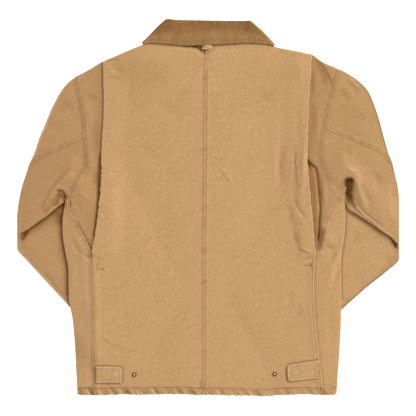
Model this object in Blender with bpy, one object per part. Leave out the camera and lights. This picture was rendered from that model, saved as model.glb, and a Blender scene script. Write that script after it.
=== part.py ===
"""Barn jacket of washed cotton duck with a corduroy collar, laid flat on its front.

Frame: metres, +Z up. The jacket lies on Z = 0 with its back upwards, +Y runs to the collar
and -X is the wearer's left. Every cut piece is a closed wall of cloth: a grid of points
worked out from named sizes, given its thickness along the surface normals. Lengths in the
tables are millimetres.
"""

import math
from dataclasses import dataclass

import bpy
import numpy as np

MM = 0.001

# Cloth and metal
DUCK = 1.5 * MM
CORDUROY = 1.8 * MM
TAPE = 1.0 * MM
SEAM_INSET = 0.17 * MM
CLEARANCE = 0.3 * MM

# Heights of the cloth's middle above the table, layer by layer
FRONT_LEVEL = 0.75 * MM
FOREARM_LEVEL = 3.0 * MM
STRIP_LEVEL = 4.8 * MM
BACK_LEVEL = 4.8 * MM
PLEAT_RISE = 4.2 * MM
SEAM_RISE = 0.9 * MM
TURN_RADIUS = 1.05 * MM

# Pleat at each side of the back
PLEAT_TUCK = 24 * MM
SEAM_TUCK = 3 * MM
RISE_FLAT = 26 * MM
RISE_END = 62 * MM
STRIP_REACH = 20 * MM

# What lifts the fronts off the table: forearms, collar leaves, snaps and the front overlap
FOREARM_LIFT = 4.5 * MM
COLLAR_LIFT = 2.5 * MM
SNAP_LIFT = 2.1 * MM
OVERLAP_LIFT = 2.25 * MM
LIFT_MARGIN = 22 * MM
LIFT_RAMP = 46 * MM
CENTRE_X = -5.5 * MM
SNAP_RIDGE = 14 * MM
OVERLAP_RIDGE = 26 * MM
RIDGE_END = 74 * MM
FRONT_NECK_Y = 250 * MM
NECK_RAMP = 40 * MM
LEFT_FRONT_EDGE_X = 15 * MM
RIGHT_FRONT_EDGE_X = -26 * MM
HEM_Y = -402 * MM

# Collar
COLLAR_MIDDLE = 5.65 * MM
FALL_HALF = 4.75 * MM
STAND_HALF = 1.25 * MM

# Snaps
FRONT_SNAP_RADIUS = 7.5 * MM
FRONT_SNAP_HEIGHT = 1.8 * MM
FRONT_SNAP_COUNT = 5
FRONT_SNAP_TOP_Y = 232 * MM
FRONT_SNAP_PITCH = 122 * MM
STUD_RADIUS = 4.8 * MM
STUD_BORE = 1.9 * MM
STUD_HEIGHT = 1.7 * MM

# Hem tabs
TAB_THICKNESS = 2.4 * MM
TAB_CLEARANCE = 1.6 * MM
TAB_BUMP_RADIUS = 10 * MM
TAB_BUMP_RISE = 1.0 * MM


def table(columns, *rows):
    """A short table as one (rows, 2) array in metres for each pair of columns."""
    values = MM * np.array(rows, dtype=float)
    return {name: values[:, 2 * i:2 * i + 2] for i, name in enumerate(columns.split())}


def points(*rows):
    """A list of plan points in metres."""
    return MM * np.array(rows, dtype=float)


# Sleeve sections from the shoulder tip to the cuff: the seam on top, the outer edge as it
# shows from above, and the end of the under layer (armhole seam, then the inner edge).
SLEEVE_LEFT = table(
    "seam edge under",
    (-284, 275, -290.5, 277, -284, 275),
    (-281, 255, -310, 259, -275, 250),
    (-275, 230, -327, 232, -265, 222),
    (-269, 198, -340, 202, -257, 192),
    (-265, 154, -353, 173, -254, 160),
    (-300, 138, -362, 149, -256, 128),
    (-335, 121, -371, 127, -264, 97),
    (-364, 107, -378, 111, -278, 66),
    (-380, 95, -385, 93, -303, 31),
    (-387, 72, -392.5, 70, -313, 24),
    (-394.5, 48, -400, 47, -313, 14),
    (-399.5, 24, -405.5, 23, -304, 6),
    (-402, 2, -409, 1, -292, -4),
    (-403.5, -22, -411, -23, -277, -20),
    (-403.5, -54, -411, -56, -260, -38),
    (-403.5, -63, -411, -66, -244, -54),
    (-399, -78, -411, -90, -228, -70),
    (-374, -110, -384, -118, -205, -94),
    (-340, -147, -349, -155, -182, -117),
    (-303, -188, -312, -196, -160, -139),
    (-262, -232, -271, -240, -137, -162),
    (-215, -283, -224, -291, -114, -184),
)
SLEEVE_RIGHT = table(
    "seam edge under",
    (283, 292, 290, 293, 283, 291),
    (277, 268, 323, 275, 272, 262),
    (269, 240, 345, 252, 262, 232),
    (261, 207, 360, 215, 254, 200),
    (254, 171, 372, 177, 250, 168),
    (293, 155, 377, 157, 251, 138),
    (334, 137, 383, 136, 257, 110),
    (370, 121, 389, 115, 271, 80),
    (391, 100, 396.5, 96, 297.5, 42),
    (398, 71, 404, 70, 308, 36),
    (402.5, 44, 408.5, 44, 308, 28),
    (404.5, 18, 411, 18, 300, 18),
    (404, -12, 411, -12, 290, 6),
    (403.5, -40, 411, -40, 277, -11),
    (403.5, -68, 411, -70, 262, -28),
    (403.5, -77, 411, -81, 246, -44),
    (400, -99, 411, -111, 229, -62),
    (374, -136, 379, -140, 207, -85),
    (337, -169, 342, -173, 181, -110),
    (300, -202, 305, -206, 156, -133),
    (250, -246, 255, -250, 130, -157),
    (199, -291, 204, -294, 103, -182),
)

# Rows of the sleeve table where the pieces change hands
SEAM_START = 4
SEAM_END = 8
ELBOW = 14
FOREARM_START = 15

# Sections below the underarm: the side seam on the back, and the body's edge, round which
# the front wraps.
SIDE_LEFT = table(
    "seam edge",
    (-300, 22, -306, 19),
    (-299, -5, -310, -4),
    (-284, -28, -313.5, -30),
    (-269, -55, -313, -58),
    (-254, -85, -309, -86),
    (-249.7, -98, -307, -98),
    (-249, -132, -301, -132),
    (-246, -190, -298, -190),
    (-245, -245, -289, -245),
    (-244, -305, -285, -305),
    (-243, -345, -284, -345),
    (-243, -402, -281, -402),
)
SIDE_RIGHT = table(
    "seam edge",
    (291, 30, 298, 27),
    (266, 3, 297, 2),
    (251, -24, 297, -24),
    (243, -50, 295, -52),
    (236, -80, 290, -82),
    (231, -98, 287.5, -98),
    (228, -132, 286, -132),
    (227, -190, 286.5, -190),
    (230.5, -245, 286, -245),
    (236, -305, 281, -305),
    (242, -345, 280, -350),
    (247, -402, 275, -402),
)
TIP = 5

# Fold line of each back pleat, from the shoulder down to where it meets the side seam
PLEAT_LEFT = points(
    (-227, 311), (-226, 274), (-225, 231), (-226, 188), (-229, 145), (-230, 102), (-230, 57),
    (-233, 23), (-236, -5), (-240, -38), (-246, -72), (-249.5, -93), (-249.3, -112),
)
PLEAT_RIGHT = points(
    (223, 322), (220, 274), (217, 231), (215.5, 188), (214.5, 145), (213.5, 102), (217, 57),
    (220, 23), (223, -5), (226, -38), (228.5, -72), (231, -93), (229.8, -112),
)
PLEAT_ROWS = 12

# Shoulder, from the armhole to the neck side, which the collar covers
SHOULDER_LEFT = points((-283, 280), (-250, 297), (-227, 311), (-188, 329), (-157, 343), (-136, 342.5),
                       (-118.5, 362.5))
SHOULDER_RIGHT = points((284, 296), (246, 314), (223, 322), (197, 333), (165, 339.5), (145, 338),
                        (123.5, 359))
NECK_Y = 362.4 * MM
NECK_SEAM_Y = 363.6 * MM
STRIP_TOP_DROP = 9 * MM

# Columns and rows of the grids, from a border inwards
BACK_COLUMNS = MM * np.array((2, 12, 26, 44, 62, 85, 105, 150))
FRONT_COLUMNS = 12
FLAT_STEPS = (0.0, 3 * MM, 6 * MM, 9 * MM, 12 * MM)
STRIP_ENDS = 5
UNDERARM_SHARE = 0.25
ARM_LIP = 8 * MM
ARM_EDGE_SHARES = (0.7, 0.8, 0.9, 1.0)
UNDER_LAYER_SHARES = (0.2, 0.45, 0.7, 1.0)
TAB_ALONG = 8
TAB_ACROSS = 6
STUD_SIDES = 12
CAP_SIDES = 10

# Share of the lift that the sleeve's under layer keeps on the rows just below the underarm
HELD_ROWS = (1.0, 0.42, 0.0)

# The collar's turn over each shoulder, in degrees from below (180) to on top (0)
SHOULDER_TURN = (180, 135, 90, 45, 0)

# Where the under sleeve's grid takes its border points, as row numbers of the border's table
SEAM_COLUMNS = SEAM_START + np.array((0, 0.4, 0.7, 1, 2, 3, 3.5, 4))
ARMHOLE_ROWS = (0, 0.5, 1, 1.5, 2, 2.5, 3)
ARMHOLE_CORNER = 3

# Forearms under the fronts, and the collar's front leaves, as convex outlines
FOREARM_LEFT = points((-299, 30), (-411, -62), (-411, -89), (-224, -291), (-114, -184))
FOREARM_RIGHT = points((293, 43), (103, -182), (204, -294), (411, -111), (411, -75))
COLLAR_LEAVES = points((-90, 410), (-145, 351), (-132, 268), (-72, 200), (72, 200), (132, 266),
                       (150, 346), (90, 410))

# Collar sections from the left front point round the neck to the back: edge of the fall,
# crease, and edge of the stand where it meets the neckline.
COLLAR_LEFT = table(
    "fall crease stand",
    (-72, 203, -13, 265, -20, 258),
    (-98, 232, -36, 287, -58, 273),
    (-118, 268, -56, 313, -94, 300),
    (-130, 310, -74, 350, -112, 331),
    (-139, 351, -90, 403.7, -119, 370),
)
COLLAR_RIGHT = table(
    "fall crease stand",
    (72, 203, 2, 265, 9, 258),
    (98, 230, 36, 287, 58, 273),
    (119, 266, 56, 313, 94, 300),
    (134, 308, 74, 349, 114, 329),
    (146, 346, 90, 401.5, 125, 368),
)
COLLAR_BACK_FALL = points((-80, 351), (-37, 349), (-5, 349.2), (30, 351.5), (84, 354))

# Lower back armhole from the sleeve seam to the underarm, and the folded lower edge of the
# upper arm from the underarm to the elbow
ARMHOLE_LEFT = points((-265, 154), (-263, 128), (-262, 104), (-266, 84), (-276, 66), (-289, 47), (-300, 31))
ARMHOLE_RIGHT = points((254, 171), (248, 140), (247, 113), (253, 87), (265, 65), (279, 51), (294, 44))
ARM_FOLD_LEFT = points((-322, 2), (-352, -21), (-382, -44), (-403.5, -54))
ARM_FOLD_RIGHT = points((309, -6), (341, -28), (377, -54), (403.5, -68))

# Hidden upper end of each forearm's top layer, under the upper arm, and its inner edge
FOREARM_END_LEFT = points((-403.5, -63), (-386, -38), (-357, -15), (-328, 5), (-296, 15))
FOREARM_END_RIGHT = points((403.5, -77), (385, -48), (352, -22), (320, 2), (288, 20))

# Front armhole ends at the underarm; the front neck runs from the neck side to the front edge
FRONT_NECK_LEFT = points((-118.5, 362.5), (-112, 331), (-94, 300), (-58, 273), (-20, 258), (15, 253))
FRONT_NECK_RIGHT = points((123.5, 359), (114, 329), (94, 300), (58, 273), (9, 258), (-26, 252))

# Hem tabs: outline corners from the side seam to the snap end
TAB_LEFT = {"upper": points((-241, -341), (-188, -342.5)), "lower": points((-241, -377), (-188, -377)),
            "snap": points((-198, -359))[0]}
TAB_RIGHT = {"upper": points((238, -328.5), (175, -336.5)), "lower": points((240, -368), (174, -373)),
             "snap": points((187, -354))[0]}
STUDS = {"left": points((-158.5, -359))[0], "right": points((143.5, -358))[0]}

# Hanger loop: left and right ends of its rows from the lip on the back up to the waist on the
# collar, how far each row has climbed on to the collar, and how high it arches
LOOP_ROWS = points((-14.8, 343), (-10.2, 347.6), (-7.4, 352), (-4.6, 357)), points(
    (11.2, 343), (6.6, 347.6), (4.7, 352), (2.8, 357))
LOOP_CLIMB = np.array((0.0, 1.0, 1.0, 1.0))
LOOP_RISE = MM * np.array((3.2, 1.4, 0.6, 0.2))
LOOP_STEPS = 7


def outside(plan, outline):
    """Distance of each plan point outside a convex outline, as the greatest edge distance."""
    corners = np.roll(outline, -1, axis=0) - outline
    area = np.sum(outline[:, 0] * np.roll(outline[:, 1], -1) - outline[:, 1] * np.roll(outline[:, 0], -1))
    normals = np.stack([corners[:, 1], -corners[:, 0]], axis=1) * np.sign(area)
    normals /= np.linalg.norm(normals, axis=1, keepdims=True)
    reach = plan @ normals.T - np.sum(outline * normals, axis=1)
    return np.max(reach, axis=-1)


def fade(distance, flat, end):
    """One up to the distance flat, falling evenly to nought at the distance end."""
    return np.clip((end - distance) / (end - flat), 0.0, 1.0)


def below_neck(plan):
    """One on the front overlap, nought above the front neck."""
    return fade(plan[..., 1], FRONT_NECK_Y, FRONT_NECK_Y + NECK_RAMP)


def lift(plan):
    """How far what lies below holds the fronts off the table."""
    ramp = (LIFT_MARGIN, LIFT_MARGIN + LIFT_RAMP)
    forearm = FOREARM_LIFT * np.maximum(fade(outside(plan, FOREARM_LEFT), *ramp),
                                        fade(outside(plan, FOREARM_RIGHT), *ramp))
    leaves = COLLAR_LIFT * fade(outside(plan, COLLAR_LEAVES), *ramp)
    snaps = SNAP_LIFT * fade(np.abs(plan[..., 0] - CENTRE_X), SNAP_RIDGE, RIDGE_END) * below_neck(plan)
    return np.maximum(np.maximum(forearm, leaves), snaps)


def overlap(plan):
    """Extra height above the left front where both fronts lie on each other."""
    return OVERLAP_LIFT * fade(np.abs(plan[..., 0] - CENTRE_X), OVERLAP_RIDGE, RIDGE_END) * below_neck(plan)


def strip_height(plan):
    """Middle of the side back and of the sleeve's upper layer."""
    return STRIP_LEVEL + lift(plan)


def back_height(plan):
    """Middle of the back away from its pleats."""
    return BACK_LEVEL + lift(plan) + overlap(plan)


def resample(line, count):
    """The line's points, count of them, evenly spaced along it."""
    steps = np.linalg.norm(np.diff(line, axis=0), axis=1)
    reach = np.concatenate([[0.0], np.cumsum(steps)])
    places = np.linspace(0.0, reach[-1], count)
    return np.stack([np.interp(places, reach, line[:, k]) for k in range(line.shape[1])], axis=1)


def share(line):
    """Each point's share of the line's length, from 0 to 1."""
    steps = np.linalg.norm(np.diff(line, axis=0), axis=1)
    return np.concatenate([[0.0], np.cumsum(steps)]) / np.sum(steps)


def at_rows(line, rows):
    """The line's points at whole and part row numbers."""
    return np.stack([np.interp(rows, np.arange(len(line)), line[:, k]) for k in range(2)], axis=1)


def coons(first, last, start, end):
    """Plan grid between four border lines: first and last row, start and end column."""
    u = 0.5 * (share(first) + share(last))[None, :, None]
    v = 0.5 * (share(start) + share(end))[:, None, None]
    across = (1 - v) * first[None] + v * last[None]
    down = (1 - u) * start[:, None] + u * end[:, None]
    corners = ((1 - u) * (1 - v) * first[0] + u * (1 - v) * first[-1]
               + (1 - u) * v * last[0] + u * v * last[-1])
    return across + down - corners


def unit(vectors):
    """Vectors of length one."""
    return vectors / np.maximum(np.linalg.norm(vectors, axis=-1, keepdims=True), 1e-9)


def raised(plan, height):
    """Plan points with their heights, as points in space."""
    return np.concatenate([plan, np.broadcast_to(height, plan.shape[:-1])[..., None]], axis=-1)


def turn(edge, inward, top, bottom, thickness):
    """Half-round turn of the cloth at an edge: on top, outermost and below."""
    radius = 0.5 * (top - bottom)
    inset = (0.5 * thickness + radius)[:, None]
    return [
        raised(edge + inward * inset, top),
        raised(edge + inward * 0.5 * thickness, 0.5 * (top + bottom)),
        raised(edge + inward * inset, bottom),
    ]


def between(start, end, shares):
    """Points at the given shares of the way from each start to its end."""
    return [start + (end - start) * part for part in shares]


def finish(name, grid, thickness, material, inset=SEAM_INSET):
    """Gives a grid of middle points its thickness and adds it to the scene as a closed wall."""
    grid = grid.copy()
    for axis in (0, 1):
        first = np.take(grid, 0, axis)
        last = np.take(grid, -1, axis)
        second = np.take(grid, 1, axis)
        before = np.take(grid, -2, axis)
        index = [slice(None), slice(None)]
        index[axis] = 0
        grid[tuple(index)] = first + unit(second - first) * inset
        index[axis] = -1
        grid[tuple(index)] = last + unit(before - last) * inset
    along = np.gradient(grid, axis=0)
    across = np.gradient(grid, axis=1)
    normals = unit(np.cross(across, along))
    upper = grid + 0.5 * thickness * normals
    lower = grid - 0.5 * thickness * normals
    rows, columns = grid.shape[:2]
    index = np.arange(rows * columns).reshape(rows, columns)
    a, b, c, d = index[:-1, :-1], index[:-1, 1:], index[1:, 1:], index[1:, :-1]
    top = np.stack([a, b, c, d], axis=-1).reshape(-1, 4)
    total = rows * columns
    rim = np.concatenate([index[0], index[1:, -1], index[-1, -2::-1], index[-2:0:-1, 0]])
    following = np.roll(rim, -1)
    side = np.stack([following, rim, rim + total, following + total], axis=-1)
    faces = np.concatenate([top, top[:, ::-1] + total, side])
    vertices = np.concatenate([upper.reshape(-1, 3), lower.reshape(-1, 3)])
    return add_mesh(name, vertices, faces, material)


def add_mesh(name, vertices, faces, material):
    """Adds a closed mesh with its faces pointing outwards."""
    corners = vertices[faces]
    volume = np.sum(corners[:, 0] * np.cross(corners[:, 1], corners[:, 2]))
    volume += np.sum(corners[:, 0] * np.cross(corners[:, 2], corners[:, 3]))
    if volume < 0:
        faces = faces[:, ::-1]
    mesh = bpy.data.meshes.new(name)
    mesh.from_pydata(vertices.tolist(), [], faces.tolist())
    mesh.materials.append(material)
    mesh.update()
    piece = bpy.data.objects.new(name, mesh)
    bpy.context.scene.collection.objects.link(piece)
    return piece


def surface(name, colour, roughness, metallic=0.0):
    """Material of one colour for a sub-part."""
    material = bpy.data.materials.new(name)
    material.use_nodes = True
    shader = material.node_tree.nodes["Principled BSDF"]
    shader.inputs["Base Color"].default_value = (*colour, 1.0)
    shader.inputs["Roughness"].default_value = roughness
    shader.inputs["Metallic"].default_value = metallic
    return material


@dataclass
class Side:
    """The lines of one half of the jacket."""

    name: str
    sleeve: dict
    body: dict
    pleat: np.ndarray
    shoulder: np.ndarray
    armhole: np.ndarray
    arm_fold: np.ndarray
    forearm_end: np.ndarray
    front_neck: np.ndarray
    front_edge_x: float
    on_top: bool

    @property
    def inward(self):
        """Plan direction from this side to the centre back."""
        return np.array([-np.sign(self.pleat[0, 0]), 0.0])


def side_back(side, material):
    """Side back: from the armhole and side seam to under the pleat, narrowing to a tip."""
    outer = np.concatenate([side.shoulder[:1], side.sleeve["seam"][:SEAM_START], side.armhole,
                            side.body["seam"][:TIP], side.pleat[PLEAT_ROWS - 1:PLEAT_ROWS]])
    hidden = side.pleat[:PLEAT_ROWS] + side.inward * STRIP_REACH
    hidden[-1] = side.pleat[PLEAT_ROWS - 1] + side.inward * SEAM_TUCK
    hidden[0, 1] = side.shoulder[3, 1] - STRIP_TOP_DROP
    inner = resample(hidden, len(outer))
    top = resample(np.concatenate([side.shoulder[:3], inner[:1]]), STRIP_ENDS)
    tip = resample(np.stack([outer[-1], inner[-1]]), STRIP_ENDS)
    plan = coons(top, tip, outer, inner)
    finish("side_back_" + side.name, turned_down(raised(plan, strip_height(plan))), DUCK, material)


def turned_down(grid):
    """The grid with its top border turned down towards the front."""
    inward = unit(grid[1] - grid[0])
    edge = grid[0] + inward * 0.5 * DUCK
    drop = np.array([0.0, 0.0, TURN_RADIUS])
    slant = math.cos(math.radians(45))
    middle = edge + (inward * TURN_RADIUS - drop) * (1 - slant)
    return np.concatenate([(edge - drop)[None], middle[None], (edge + inward * TURN_RADIUS)[None], grid[1:]])


def back(side, material):
    """Half back: its outer border folds under as the pleat, and below it as the side seam."""
    fold = np.concatenate([side.pleat, side.body["seam"][TIP + 1:]])
    tuck = np.where(np.arange(len(fold)) < PLEAT_ROWS, PLEAT_TUCK, SEAM_TUCK)
    rise = np.where(np.arange(len(fold)) < PLEAT_ROWS, PLEAT_RISE, SEAM_RISE)
    centre_y = np.interp(share(fold), [0, 1], [NECK_Y, HEM_Y])
    centre = np.stack([np.full(len(fold), CENTRE_X), centre_y], axis=1)
    shoulder = side.shoulder[2:]
    across = np.concatenate([[0.0], BACK_COLUMNS, [abs(centre[0, 0] - fold[0, 0])]])
    across = across / across[-1]
    line = np.concatenate([shoulder, [[CENTRE_X, NECK_Y]]])
    top_share = share(line[:, :1])
    top = np.stack([np.interp(across, top_share, line[:, k]) for k in range(2)], axis=1)
    hem = fold[-1] + (centre[-1] - fold[-1]) * across[:, None]
    plan = coons(top, hem, fold, centre)
    distance = np.linalg.norm(plan - plan[:, :1], axis=-1)
    height = back_height(plan) + rise[:, None] * fade(distance, RISE_FLAT, RISE_END)
    edge_top = height[:, 0]
    edge = turn(fold, unit(plan[:, 1] - fold), edge_top, edge_top - 2 * TURN_RADIUS, DUCK)
    below = edge[2] + raised(side.inward * tuck[:, None], 0.0)
    halfway = 0.5 * (edge[2] + below)
    rows = [below, halfway, edge[2], edge[1], edge[0]]
    grid = np.concatenate([np.stack(rows, axis=1), raised(plan, height)[:, 1:]], axis=1)
    finish("back_" + side.name, grid, DUCK, material)


def front(side, material):
    """Half front: lies on the table and wraps round the body's edge up to the side seam."""
    armhole_rows = side.sleeve["under"][:SEAM_END + 1]
    edge = np.concatenate([side.shoulder[:1], armhole_rows[1:], side.body["edge"]])
    seam = np.concatenate([edge[:len(armhole_rows)], side.body["seam"]])
    wraps = np.arange(len(edge)) >= len(armhole_rows)
    shoulder_count = FRONT_COLUMNS - len(side.front_neck) + 1
    top = np.concatenate([resample(side.shoulder, shoulder_count), side.front_neck[1:]])
    centre = np.stack([np.full(len(edge), side.front_edge_x),
                       np.interp(share(edge), [0, 1], [side.front_neck[-1, 1], HEM_Y])], axis=1)
    hem = resample(np.stack([edge[-1], centre[-1]]), FRONT_COLUMNS)
    plan = coons(top, hem, edge, centre)
    height = FRONT_LEVEL + lift(plan) + (overlap(plan) if side.on_top else 0.0)
    grid = raised(plan, height)
    inward = unit(plan[:, 1] - plan[:, 0])
    low = height[:, 0]
    high = low + (STRIP_LEVEL - FRONT_LEVEL)
    wrapped = turn(edge, inward, high, low, DUCK)
    seam_points = raised(seam, high)
    wrap = np.stack([seam_points, 0.5 * (seam_points + wrapped[0])] + wrapped, axis=1)
    closeness = np.where(np.arange(len(edge)) == SEAM_END, UNDERARM_SHARE, 1.0)[:, None]
    flat = np.stack([grid[:, 0] + raised(inward * closeness, 0.0) * step for step in FLAT_STEPS], axis=1)
    outer = np.where(wraps[:, None, None], wrap, flat)
    finish("front_" + side.name, np.concatenate([outer, grid[:, 1:]], axis=1), DUCK, material)


def top_sleeve(side, material):
    """Top sleeve: cap, outer edge and the whole under layer, from the armhole to the cuff."""
    seam, edge, under = (side.sleeve[column] for column in ("seam", "edge", "under"))
    rows = np.arange(len(seam))
    high = np.where(rows <= ELBOW, strip_height(seam), FOREARM_LEVEL)
    hold = np.interp(rows - SEAM_END, range(len(HELD_ROWS)), HELD_ROWS)
    low = FRONT_LEVEL + lift(edge) * hold
    wrapped = turn(edge, unit(seam - edge), high, low, DUCK)
    top = between(raised(seam, high), wrapped[0], (0.0, 0.5))
    bottom = between(edge, under, UNDER_LAYER_SHARES)
    bottom = [raised(plan, FRONT_LEVEL + lift(plan) * hold) for plan in bottom]
    grid = np.stack(top + wrapped + bottom, axis=1)
    finish("top_sleeve_" + side.name, grid, DUCK, material)


def under_sleeve(side, material):
    """Under sleeve above the elbow: from the sleeve seam to the underarm and the folded edge."""
    first = at_rows(side.sleeve["seam"], SEAM_COLUMNS)
    last = np.concatenate([side.armhole[ARMHOLE_CORNER:], side.arm_fold])
    plan = coons(first, last, at_rows(side.armhole, ARMHOLE_ROWS), side.sleeve["seam"][SEAM_END:ELBOW + 1])
    grid = raised(plan, strip_height(plan))
    edge = plan[-1]
    along = unit(np.gradient(edge, axis=0))
    inward = np.stack([-along[:, 1], along[:, 0]], axis=1)
    inward *= np.sign(np.sum(inward * (plan[-2] - edge)))
    inward[-1] = unit(plan[-2, -1] - edge[-1])
    high = grid[-1, :, 2]
    folded = turn(edge, inward, high, high - 2 * TURN_RADIUS, DUCK)
    folded.append(folded[2] + raised(inward * ARM_LIP, 0.0))
    flat = between(grid[-2], grid[-1], ARM_EDGE_SHARES)
    is_folded = (np.arange(len(edge)) >= len(edge) - len(side.arm_fold))[:, None]
    lower = [np.where(is_folded, turned, plain) for turned, plain in zip(folded, flat)]
    finish("under_sleeve_" + side.name, np.concatenate([grid[:-1], np.stack(lower)]), DUCK, material)


def forearm(side, material):
    """Under sleeve below the elbow: the forearm's top layer, down to the cuff."""
    outer = side.sleeve["seam"][FOREARM_START:]
    end = side.forearm_end
    cuff = resample(np.stack([outer[-1], side.sleeve["under"][-1]]), len(end))
    inner = resample(np.stack([end[-1], cuff[-1]]), len(outer))
    plan = coons(end, cuff, outer, inner)
    finish("forearm_" + side.name, raised(plan, FOREARM_LEVEL), DUCK, material)


def collar(material):
    """Corduroy collar: fall and stand joined at the crease, all the way round the neck."""
    front_left = {key: line[:-1] for key, line in COLLAR_LEFT.items()}
    front_right = {key: line[-2::-1] for key, line in COLLAR_RIGHT.items()}
    side_left = {key: line[-1] for key, line in COLLAR_LEFT.items()}
    side_right = {key: line[-1] for key, line in COLLAR_RIGHT.items()}
    sections = collar_flat(front_left) + collar_side(side_left, SHOULDER_TURN)
    rising = collar_side(side_right, SHOULDER_TURN[::-1])
    left, right = sections[-1], rising[0]
    shares = (COLLAR_BACK_FALL[:, 0] - left[0, 0]) / (right[0, 0] - left[0, 0])
    for share_along, fall in zip(shares, COLLAR_BACK_FALL):
        section = left + (right - left) * share_along
        offset = fall[1] - section[0, 1]
        section[:, 1] += offset * np.linspace(1.0, 0.0, len(section)) ** 2
        section[-1, 1] = NECK_SEAM_Y
        sections.append(section)
    sections += rising + collar_flat(front_right)
    finish("collar", np.stack(sections), CORDUROY, material)


def collar_section(fall, crease, stand):
    """Plan shares and half heights of one collar section, from the fall's edge to the stand's."""
    radius = 0.5 * (FALL_HALF - STAND_HALF)
    back_off = unit(fall - crease) * (radius + 0.5 * CORDUROY)
    skin = unit(fall - crease) * 0.5 * CORDUROY
    start = crease + back_off
    plan = [fall, 0.5 * (fall + start), start, crease + skin, start, 0.5 * (stand + start), stand]
    half = [FALL_HALF] * 3 + [0.5 * (FALL_HALF + STAND_HALF)] + [STAND_HALF] * 3
    return np.stack(plan), np.array(half)


def collar_flat(lines):
    """Sections of the collar's front leaves, which lie under the fronts."""
    sections = []
    for fall, crease, stand in zip(lines["fall"], lines["crease"], lines["stand"]):
        plan, half = collar_section(fall, crease, stand)
        sections.append(raised(plan, COLLAR_MIDDLE - half))
    return sections


def collar_side(lines, angles):
    """Sections where the collar turns over the shoulder, at angles from 180 below to 0 on top."""
    along = unit(lines["fall"] - lines["crease"])
    outward = np.array([-along[1], along[0]])
    outward = outward * np.sign(outward[0] * lines["fall"][0])
    inset = outward * (FALL_HALF + 0.5 * CORDUROY)
    plan, half = collar_section(lines["fall"] - inset, lines["crease"] - inset, lines["stand"])
    sections = []
    for angle in angles:
        sine, cosine = math.sin(math.radians(angle)), math.cos(math.radians(angle))
        sections.append(raised(plan + outward * half[:, None] * sine, COLLAR_MIDDLE + cosine * half))
    return sections


def hanger_loop(material):
    """Tape loop: it gathers on to the collar above and its lip arches up off the back."""
    along = np.linspace(0.0, 1.0, LOOP_STEPS)[:, None]
    first, last = LOOP_ROWS
    plan = first[None] * (1 - along[..., None]) + last[None] * along[..., None]
    on_back = back_height(plan) + 0.5 * DUCK
    on_collar = COLLAR_MIDDLE + FALL_HALF + 0.5 * CORDUROY
    rest = on_back + (on_collar - on_back) * LOOP_CLIMB[None] + 0.5 * TAPE + CLEARANCE
    arch = LOOP_RISE[None] * np.sin(math.pi * along)
    finish("hanger_loop", raised(plan, rest + arch), TAPE, material)


def hem_tab(name, tab, seam, material):
    """Hem tab: a doubled strap from the side seam with a snap's bump near its free end."""
    upper = resample(tab["upper"], TAB_ALONG)
    lower = resample(tab["lower"], TAB_ALONG)
    side = np.stack(between(upper, lower, np.linspace(0.0, 1.0, TAB_ACROSS)))
    bump = TAB_BUMP_RISE * fade(np.linalg.norm(side - tab["snap"], axis=-1), 0.0, TAB_BUMP_RADIUS)
    from_seam = np.abs(side[..., 0]) - np.abs(np.interp(-side[..., 1], -seam[:, 1], seam[:, 0]))
    seam_rise = SEAM_RISE * fade(-from_seam, RISE_FLAT, RISE_END)
    rest = back_height(side) + seam_rise + 0.5 * (DUCK + TAB_THICKNESS) + TAB_CLEARANCE
    finish(name, raised(side, rest + bump), TAB_THICKNESS, material)


def turned(name, centre, base, profile, segments, material):
    """Turned metal piece about a vertical axis: profile of radius and height, open at its bore."""
    angles = np.linspace(0.0, 2 * math.pi, segments, endpoint=False)
    profile = np.array(profile)
    ring = np.stack([np.cos(angles), np.sin(angles)], axis=1)
    vertices = np.concatenate([
        np.concatenate([centre + ring * radius, np.full((segments, 1), base + height)], axis=1)
        for radius, height in profile
    ])
    count = len(profile)
    faces = []
    for row in range(count):
        for step in range(segments):
            after = (step + 1) % segments
            below = (row + 1) % count
            faces.append((row * segments + step, row * segments + after,
                          below * segments + after, below * segments + step))
    return add_mesh(name, vertices, np.array(faces), material)


def snap_stud(name, centre, material):
    """Spare snap stud on the back: a rolled ring round a bore."""
    base = back_height(centre) + 0.5 * DUCK + CLEARANCE
    profile = [(STUD_BORE, 0.0), (STUD_RADIUS, 0.0), (STUD_RADIUS, 0.5 * STUD_HEIGHT),
               (0.8 * STUD_RADIUS, STUD_HEIGHT), (0.6 * STUD_RADIUS, STUD_HEIGHT),
               (STUD_BORE, 0.6 * STUD_HEIGHT)]
    turned(name, centre, base, profile, STUD_SIDES, material)


def front_snap(number, material):
    """Plain cap of a front snap, under the left front."""
    centre = np.array([CENTRE_X, FRONT_SNAP_TOP_Y - FRONT_SNAP_PITCH * number])
    bore = 0.1 * FRONT_SNAP_RADIUS
    profile = [(bore, 0.0), (0.85 * FRONT_SNAP_RADIUS, 0.0), (FRONT_SNAP_RADIUS, 0.4 * FRONT_SNAP_HEIGHT),
               (FRONT_SNAP_RADIUS, FRONT_SNAP_HEIGHT), (bore, FRONT_SNAP_HEIGHT)]
    turned(f"front_snap_{number + 1}", centre, 0.0, profile, CAP_SIDES, material)


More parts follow.
